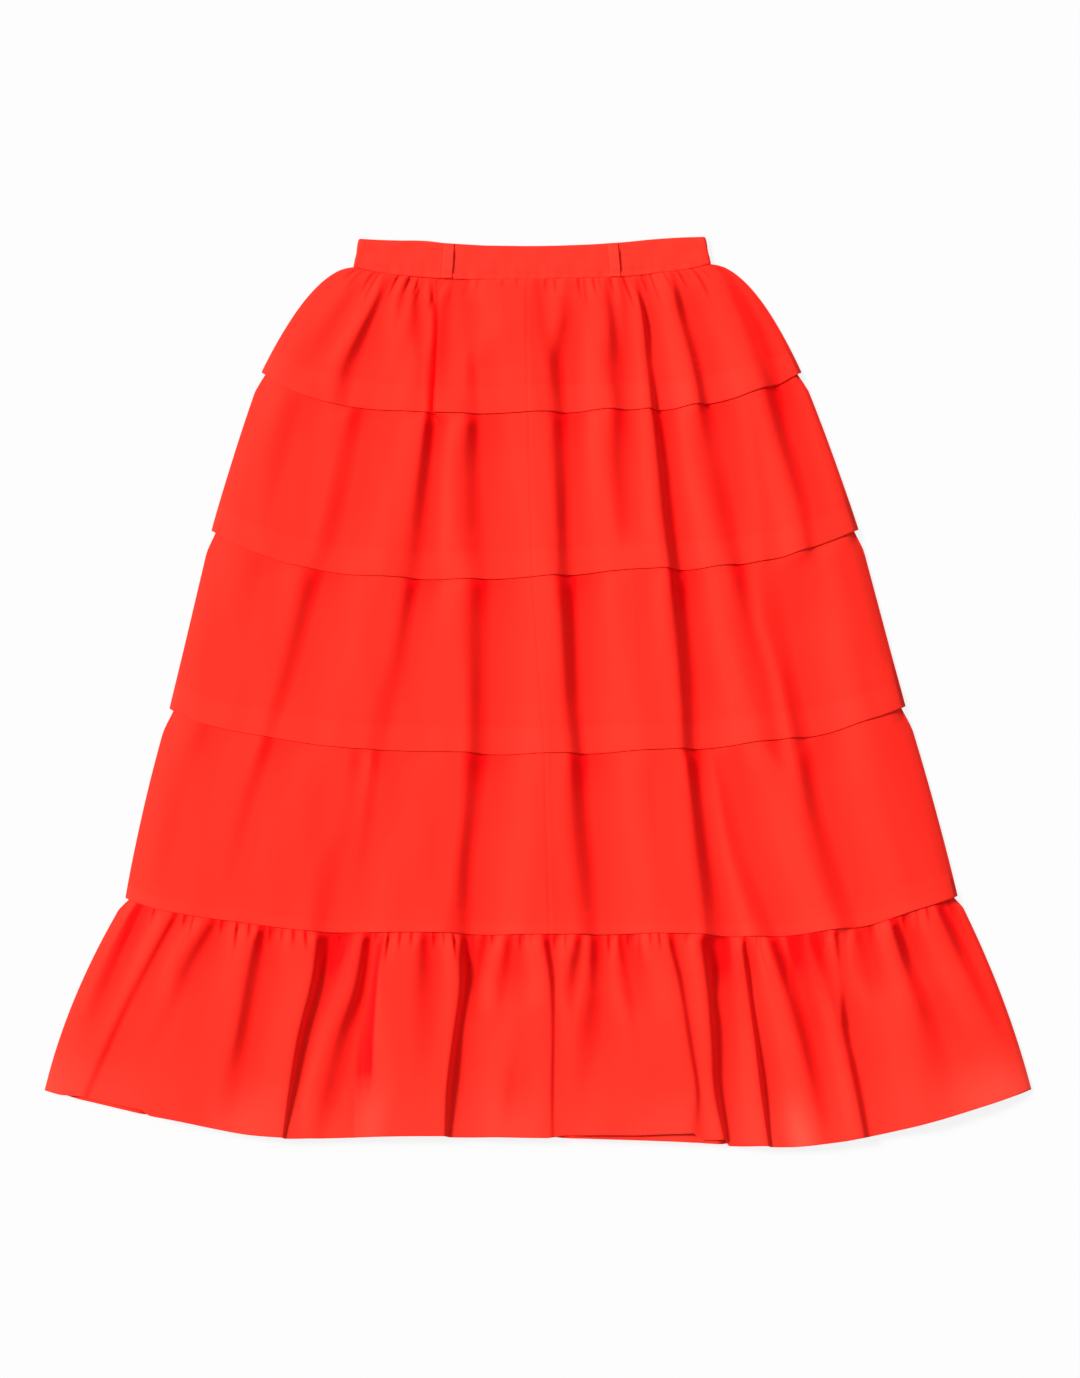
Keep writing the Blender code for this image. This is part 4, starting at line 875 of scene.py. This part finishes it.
def painted_fold_shade_of(tier, across, down):
    """How much painted shade a front tier's cloth gets for how deep it lies in its folds, from 0 on top to 1
    in a deep valley.  Steep walls that fall away from the light, the rims of laps and a few hollows of the
    ruffle get painted shade too."""
    f = within(down - tier)
    body, _, _, rim_shade = folded(tier, across, f)
    places = across * half_width(tier + f)
    low = (evened_out(body, places, SHADE_REACH) - body) / SHADE_FULL_DROP
    steep = -np.gradient(body, places) / SHADE_STEEP_SLOPE
    depth = LOW_SHADE_WEIGHT * np.clip(low, 0, 1) + STEEP_SHADE_WEIGHT * np.clip(steep, 0, 1)
    if tier == TIER4_HEM:
        depth += spots(RUFFLE_PAINTED_HOLLOW_SHADE, across) * (1 - ease(f / HOLLOW_SHADE_REACH))
    if tier > WAIST_SEAM:
        # painted shadow of the hem above
        depth *= 1 + UNDER_HEM_PAINTED_SHADE * (1 - ease(f * length_of(tier) / UNDER_HEM_SHADE_REACH))
    return np.clip(depth, rim_shade, 1)


def paleness_of(tier, across, down):
    """How much lighter the cloth is painted, as painted light: on a hem flap, and near the ruffle's edge,
    where the glowing ground shows through its single layer."""
    f = down - tier
    if tier < TIER4_HEM:
        return np.full(len(across), HEM_PAINTED_LIGHT * ease((f - (1 - flap_of(tier))) / HEM_PAINTED_LIGHT_EDGE))
    near_hem = ease((f - RUFFLE_PAINTED_LIGHT_FROM) / (1 - RUFFLE_PAINTED_LIGHT_FROM))
    at_hem = ease((f - PAINTED_LIGHT_SPOTS_FROM) / (1 - PAINTED_LIGHT_SPOTS_FROM))
    return RUFFLE_PAINTED_LIGHT * near_hem + spots(PAINTED_LIGHT_SPOTS, across) * at_hem


def tier_tube(name, tier, material):
    """One tier's whole tube of cloth, front and back, with its painted shade and its painted light."""
    back_across = np.linspace(-1, 1, int(2 * half_width(tier + COUNTED_AT) / BACK_SPACING))
    front, back, pale, fold_shade = [], [], [], []
    for down in rows_down(tier):
        across = front_columns(tier, max(down - tier, 0.0))
        front.append(np.stack(front_row(tier, across, down), axis=1))
        back.append(np.stack(back_row(tier, back_across, down), axis=1))
        painted_light = paleness_of(tier, across, down)
        back_painted_light = paleness_of(tier, back_across, down)
        left, right = np.full(TURN_POINTS, painted_light[0]), np.full(TURN_POINTS, painted_light[-1])
        pale.append(np.concatenate([painted_light, right, back_painted_light[::-1], left]))
        flat = np.zeros(len(back_across) + 2 * TURN_POINTS)
        fold_shade.append(np.concatenate([painted_fold_shade_of(tier, across, down), flat]))
    middle = tube_around(np.array(front), np.array(back))
    return shell_object(name, middle, CLOTH, material, paleness=np.array(pale), depth=np.array(fold_shade))


# ---------------------------------------------------------------- waistband and belt loops
BAND_ROWS = (0.0, 0.03, 0.09, 0.18, 0.30, 0.42, 0.54, 0.66, 0.76, 0.82, 0.85, 0.88, 0.93, 0.97, 1.0)
BAND_SPACING = 0.0022     # between columns of its front; its back has a third as many
BAND_STITCHES = 0.85      # where its line of stitches is, between the first line (0) and the second (1)
BAND_DENT = 0.0003        # it is drawn in by this much there,
BAND_DENT_WALL = 0.06     # over this share of its height to each side
BAND_RIPPLES = table(WAVE_COLUMNS, ((0.00018, 31, 5, 0), (0.00012, 57, -7, 1)))
BAND_PUCKER = 0.00022     # height of the puckers that the gathers make along its lower edge
BAND_END_WAVE = 0.0005    # and of the slight waves of its ends
BAND_BACK_LOWER = 0.0006  # its back's top edge lies this much lower than its front's,
BAND_BACK_PEEK = 0.0022   # but for one place, where it comes up by this much
BAND_BACK_PLACE = -0.62
BAND_BACK_REACH = (0.30, 0.22)
LOOP_SEAT = 0.0005        # from the band's surface to the strap's middle where it is sewn down
LOOP_THICK = 0.0006       # half the strap's thickness
LOOP_SQUARE = 0.45        # the lower this power, the squarer the strap's edges
LOOP_STEPS, LOOP_CORNERS = 36, 24
LOOP_PRESS = 0.0004       # the stitches press the strap in by this much,
LOOP_PRESS_WALL = 0.0012
LOOP_PRESS_PLACE = 0.7 * LOOP_FOOT     # and lie this far from its ends


def band_middle(across):
    """Height of the front waistband's middle surface."""
    return BAND_MIDDLE + BAND_ARCH * (1 - np.asarray(across) ** 2)


def waistband(material):
    """The whole waistband as one tube: a slightly uneven front over a flat back."""
    count = int(2 * half_width(0.5) / BAND_SPACING)
    across = np.linspace(-1, 1, count)
    back_across = np.linspace(-1, 1, count // 3)
    front, back = [], []
    for down in BAND_ROWS:
        dent = BAND_DENT * bump(down - BAND_STITCHES, BAND_DENT_WALL)
        pucker = BAND_PUCKER * down ** 2 * np.sin(95 * across + 2 * np.sin(11 * across))
        ends = BAND_END_WAVE * np.abs(across) ** 6 * np.sin(9 * down)
        x, y = plan(across, down)
        z = band_middle(across) + waves(BAND_RIPPLES, across, down) - dent + pucker + ends
        front.append(np.stack([x, y + BAND_TALLER * (1 - down), z], axis=1))
        x, y = plan(back_across, down)
        peek_up = BAND_BACK_PEEK * bump(back_across - BAND_BACK_PLACE, *BAND_BACK_REACH)
        y = y + (BAND_TALLER - BAND_BACK_LOWER + peek_up) * (1 - down)
        back.append(np.stack([x, y, np.full(len(back_across), BAND_WALL / 2)], axis=1))
    middle = tube_around(np.array(front), np.array(back))
    return shell_object("waistband", middle, BAND_WALL, material,
                        paleness=np.full(middle.shape[:2], BAND_PALENESS))


def swept(name, path, section, material):
    """A closed body: a section's points (sideways, upwards), carried along a path whose rows are (point,
    sideways, upwards)."""
    rings = [point + np.outer(section[:, 0], side) + np.outer(section[:, 1], up) for point, side, up in path]
    count = len(section)
    faces = [tuple(range(count))[::-1]]
    for ring in range(0, (len(rings) - 1) * count, count):
        for c in range(count):
            d = (c + 1) % count
            faces.append((ring + c, ring + d, ring + count + d, ring + count + c))
    faces.append(tuple(range((len(rings) - 1) * count, len(rings) * count)))
    return mesh_object(name, np.concatenate(rings), faces, material)


def belt_loop(name, place, material):
    """A narrow folded strap, sewn down at both ends and standing a little off the band between them."""
    (x_top, y_top), (x_bottom, y_bottom) = (np.ravel(plan(np.array([place]), down)) for down in (0.0, 1.0))
    y_top += BAND_TALLER
    length = y_top - y_bottom
    s = np.linspace(0, 1, LOOP_STEPS + 1)
    from_end = np.minimum(s, 1 - s) * length
    rise = LOOP_RISE * ease((from_end - LOOP_FOOT) / LOOP_SLOPE)
    press = LOOP_PRESS * bump(from_end - LOOP_PRESS_PLACE, LOOP_PRESS_WALL)
    z = band_middle(place) + BAND_WALL / 2 + LOOP_SEAT + rise - press
    stations = np.stack([x_top + s * (x_bottom - x_top), y_top - s * length, z], axis=1)
    side = np.array([1.0, 0.0, 0.0])
    upward = unit(np.cross(side, -np.gradient(stations, axis=0)))
    turns = np.linspace(0, 2 * math.pi, LOOP_CORNERS, endpoint=False)
    around = np.stack([np.cos(turns), np.sin(turns)], axis=1)
    section = np.sign(around) * np.abs(around) ** LOOP_SQUARE * (LOOP_WIDTH / 2, LOOP_THICK)
    loop = swept(name, [(point, side, up) for point, up in zip(stations, upward)], section, material)
    add_tint(loop, "paleness", np.full(len(loop.data.vertices), LOOP_PALENESS))
    return loop


# ---------------------------------------------------------------- stitches
STITCH_LENGTH, STITCH_GAP, STITCH_RADIUS = 0.0022, 0.0009, 0.00017
STITCH_RINGS = ((-0.40, 0.8), (0.0, 1.0), (0.40, 0.8))    # (place along it, radius) as shares
STITCH_SIDES = 4
THREAD_LIFT = 0.00005     # the thread's middle lies this far off the cloth,
BAND_THREAD_LIFT = 0.00008     # and this far off the waistband
RUFFLE_STITCHES = 0.005   # the ruffle's stitches are this far from its hem
# The share of the width over which stitches run, and how many points give their line.
SEWN = {"front": (0.985, 900), "back": (0.98, 300), "waistband": (0.985, 400)}


def sewn_across(where):
    """Places across of a line of stitches."""
    span, count = SEWN[where]
    return np.linspace(-span, span, count)


def row_with_normals(points):
    """Normals of a line of points that lies on the cloth, upward and square to the line."""
    tangent = unit(np.gradient(points, axis=0))
    normal = unit(np.cross(tangent, (0.0, -1.0, 0.0)))
    return np.where(normal[:, 2:3] < 0, -normal, normal)


def spindle():
    """One stitch: its points as (along, upward, sideways), in metres, and its faces."""
    turns = [2 * math.pi * j / STITCH_SIDES for j in range(STITCH_SIDES)]
    rings = [(s, wide * math.cos(turn), wide * math.sin(turn)) for s, wide in STITCH_RINGS for turn in turns]
    points = np.array([(-0.5, 0, 0), *rings, (0.5, 0, 0)]) * (STITCH_LENGTH, STITCH_RADIUS, STITCH_RADIUS)
    tip = len(points) - 1
    faces = []
    for j in range(STITCH_SIDES):
        after = (j + 1) % STITCH_SIDES
        faces.append((0, 1 + after, 1 + j))
        for a in range(1, tip - STITCH_SIDES, STITCH_SIDES):
            b = a + STITCH_SIDES
            faces.append((a + j, a + after, b + after, b + j))
        faces.append((tip - STITCH_SIDES + j, tip - STITCH_SIDES + after, tip))
    return points, faces


def stitches(name, lines, lift, material):
    """Thread stitches along lines of points, each a small spindle lying on the cloth."""
    shape, shape_faces = spindle()
    pitch = STITCH_LENGTH + STITCH_GAP
    points, faces = [], []
    for line in lines:
        normals = row_with_normals(line)
        at = np.concatenate([[0.0], np.cumsum(np.linalg.norm(np.diff(line, axis=0), axis=1))])
        for k in range(int(at[-1] / pitch)):
            middle = (k + 0.5) * pitch
            spot = np.array([np.interp(middle, at, line[:, i]) for i in range(3)])
            up = unit(np.array([np.interp(middle, at, normals[:, i]) for i in range(3)]))
            ahead = min(np.searchsorted(at, middle), len(line) - 1)
            way = unit(line[ahead] - line[ahead - 1])
            first = len(points) * len(shape)
            faces += [tuple(first + corner for corner in face) for face in shape_faces]
            points.append(spot + up * lift + shape @ np.stack([way, up, np.cross(up, way)]))
    return mesh_object(name, np.concatenate(points), faces, material)


def stitch_line(tier, down, front=True):
    """Points on the outside of a tier along one line."""
    if front:
        x, y, z = front_row(tier, sewn_across("front"), down)
        nx, nz = cloth_normals(x, z)
        return np.stack([x + nx * CLOTH / 2, y, z + nz * CLOTH / 2], axis=1)
    x, y, z = back_row(tier, sewn_across("back"), down)
    return np.stack([x, y, z - CLOTH / 2], axis=1)


# ---------------------------------------------------------------- materials
CLOTH_MEAN = (0.915, 0.0218, 0.0122, 1.0)
CLOTH_LIGHT = (0.925, 0.0235, 0.0132, 1.0)
CLOTH_DEEP = (0.905, 0.0200, 0.0113, 1.0)
CLOTH_PAINTED_SHADE = (0.960, 0.0016, 0.0026, 1.0)
CLOTH_PALE_AND_PAINTED_LIGHT = (0.955, 0.0600, 0.0370, 1.0)
SHEEN_COLOUR = (1.0, 0.45, 0.40, 1.0)
THREAD_COLOUR = (0.840, 0.0200, 0.0130, 1.0)
FLOOR_COLOUR = (0.08, 0.08, 0.08, 1.0)
FLOOR_GLOW = 0.86
WHITE = (1.0, 1.0, 1.0, 1.0)
TWIST_SCALE = 900.0       # of the thread


def new_material(name):
    """A node material: itself, its nodes, its links and its shader."""
    material = bpy.data.materials.new(name)
    material.use_nodes = True
    tree = material.node_tree
    return material, tree.nodes, tree.links, tree.nodes["Principled BSDF"]


def set_inputs(node, values):
    """Sets a node's inputs by name."""
    for name, value in values.items():
        node.inputs[name].default_value = value


def cloth_material():
    """Matte crepe: a fine pebbled weave and faint slubs.  Painted shade makes it deeper red down in its
    folds, in place of shade and of light that comes off other red cloth; painted light makes it a little
    paler on hem flaps and where the glowing table shows through the sheer ruffle, and the waistband and loops
    have a paler tone."""
    material, nodes, links, shader = new_material("red_crepe")
    coordinates = nodes.new("ShaderNodeTexCoord")

    def noise(stretch, scale, detail):
        mapping = nodes.new("ShaderNodeMapping")
        set_inputs(mapping, {"Scale": stretch})
        links.new(coordinates.outputs["Object"], mapping.inputs["Vector"])
        node = nodes.new("ShaderNodeTexNoise")
        set_inputs(node, {"Scale": scale, "Detail": detail})
        links.new(mapping.outputs["Vector"], node.inputs["Vector"])
        return node.outputs["Fac"]

    def mix(factor, a, b):
        node = nodes.new("ShaderNodeMix")
        node.data_type = "RGBA"
        links.new(factor, node.inputs["Factor"])
        for socket, value in ((node.inputs["A"], a), (node.inputs["B"], b)):
            if isinstance(value, tuple):
                socket.default_value = value
            else:
                links.new(value, socket)
        return node.outputs["Result"]

    mottle = noise((1.0, 1.0, 1.0), 22.0, 3.0)
    slubs = noise((40.0, 700.0, 40.0), 1.0, 2.0)
    cloth = mix(mottle, CLOTH_DEEP, CLOTH_LIGHT)
    cloth = mix(slubs, cloth, CLOTH_MEAN)
    # The first tint paints shade into the folds; the second paints the waistband's and loops' paler tone, and
    # painted light on the hem flaps and the ruffle's hem.
    for tint, colour in (("depth", CLOTH_PAINTED_SHADE), ("paleness", CLOTH_PALE_AND_PAINTED_LIGHT)):
        attribute = nodes.new("ShaderNodeAttribute")
        attribute.attribute_name = tint
        cloth = mix(attribute.outputs["Fac"], cloth, colour)
    links.new(cloth, shader.inputs["Base Color"])

    weave = noise((1.0, 0.55, 1.0), 1500.0, 1.0)
    grain = noise((1.0, 1.0, 1.0), 420.0, 2.0)
    height = nodes.new("ShaderNodeMath")
    height.operation = "ADD"
    links.new(weave, height.inputs[0])
    links.new(grain, height.inputs[1])
    add_relief(nodes, links, shader, height.outputs["Value"], {"Strength": 0.25, "Distance": 0.00025})
    set_inputs(shader, {"Roughness": 0.9, "Specular IOR Level": 0.06, "Sheen Weight": 0.08,
                        "Sheen Roughness": 0.5, "Sheen Tint": SHEEN_COLOUR})
    return material


def add_relief(nodes, links, shader, height, values):
    """Gives a shader a bump from a height output."""
    relief = nodes.new("ShaderNodeBump")
    set_inputs(relief, values)
    links.new(height, relief.inputs["Height"])
    links.new(relief.outputs["Normal"], shader.inputs["Normal"])


def thread_material():
    """Twisted thread in the cloth's own red."""
    material, nodes, links, shader = new_material("red_thread")
    coordinates = nodes.new("ShaderNodeTexCoord")
    twist = nodes.new("ShaderNodeTexWave")
    set_inputs(twist, {"Scale": TWIST_SCALE})
    links.new(coordinates.outputs["Object"], twist.inputs["Vector"])
    add_relief(nodes, links, shader, twist.outputs["Fac"], {"Strength": 0.3, "Distance": 0.0001})
    set_inputs(shader, {"Base Color": THREAD_COLOUR, "Roughness": 0.6})
    return material


def floor_material():
    """A white light table: it glows, so that little shadow shows on it."""
    material, _, _, shader = new_material("light_table")
    set_inputs(shader, {"Base Color": FLOOR_COLOUR, "Roughness": 1.0, "Specular IOR Level": 0.0,
                        "Emission Color": WHITE, "Emission Strength": FLOOR_GLOW})
    return material


# ---------------------------------------------------------------- stage
FRAME_HEIGHT = 1.378      # metres of floor that the picture shows from top to bottom
CAMERA_PLACE = (0.002, 0.003, 3.0)
CAMERA_SEES = 20.0        # as far as this
SENSOR_HEIGHT = 36.0      # in millimetres
SUN_FROM = (-0.75, 0.35, 0.56)
SUN_STRENGTH = 6.15
SUN_SIZE = 16             # in degrees, which makes its shadows soft
SKY_STRENGTH = 0.45
FLOOR_SIZE = 6.0
FLOOR_DROP = 0.0003       # the floor lies this far below the skirt


def stage():
    """The floor, the light and the camera."""
    bpy.ops.mesh.primitive_plane_add(size=FLOOR_SIZE, location=(0.0, 0.0, -FLOOR_DROP))
    floor = bpy.context.object
    floor.name = "floor"
    floor.data.materials.append(floor_material())

    world = bpy.data.worlds.new("studio")
    bpy.context.scene.world = world
    world.use_nodes = True
    set_inputs(world.node_tree.nodes["Background"], {"Color": WHITE, "Strength": SKY_STRENGTH})

    sun = bpy.data.lights.new("key", "SUN")
    sun.energy = SUN_STRENGTH
    sun.angle = math.radians(SUN_SIZE)
    key = link(bpy.data.objects.new("key", sun))
    key.rotation_euler = Vector(SUN_FROM).to_track_quat("Z", "Y").to_euler()

    lens = bpy.data.cameras.new("camera")
    camera = link(bpy.data.objects.new("camera", lens))
    camera.location = CAMERA_PLACE
    lens.sensor_fit = "VERTICAL"
    lens.sensor_height = SENSOR_HEIGHT
    lens.lens = SENSOR_HEIGHT * CAMERA_PLACE[2] / FRAME_HEIGHT
    lens.clip_end = CAMERA_SEES
    scene = bpy.context.scene
    scene.camera = camera
    scene.view_settings.view_transform = "Standard"
    scene.view_settings.look = "None"


# ---------------------------------------------------------------- the skirt
TIERS = ((1, "tier1"), (2, "tier2"), (3, "tier3"), (4, "tier4"), (5, "ruffle"))


def dress():
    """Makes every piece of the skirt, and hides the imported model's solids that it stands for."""
    cloth, thread = cloth_material(), thread_material()
    made = []
    band = waistband(cloth)
    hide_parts("waistband_front", "waistband_back")
    made.append(band)
    for name, place in zip(("belt_loop_left", "belt_loop_right"), LOOP_PLACES):
        loop = belt_loop(name + "_strap", place, cloth)
        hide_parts(name)
        made.append(loop)
    for tier, name in TIERS:
        tube = tier_tube(name + "_cloth", tier, cloth)
        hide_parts(name + "_front_left", name + "_front_right", name + "_back")
        made.append(tube)
        from_hem = RUFFLE_STITCHES / length_of(tier) if tier == TIER4_HEM else flap_of(tier)
        at = tier + 1 - from_hem
        lines = [stitch_line(tier, at), stitch_line(tier, at, front=False)]
        row = stitches(name + "_stitches", lines, THREAD_LIFT, thread)
        made.append(row)
    across = sewn_across("waistband")
    x, y = plan(across, BAND_STITCHES)
    top = np.stack([x, y, band_middle(across) + BAND_WALL / 2 - BAND_DENT], axis=1)
    row = stitches("waistband_stitches", [top], BAND_THREAD_LIFT, thread)
    made.append(row)
    for piece in made:
        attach(piece, "root")


def main():
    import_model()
    stage()
    dress()


main()
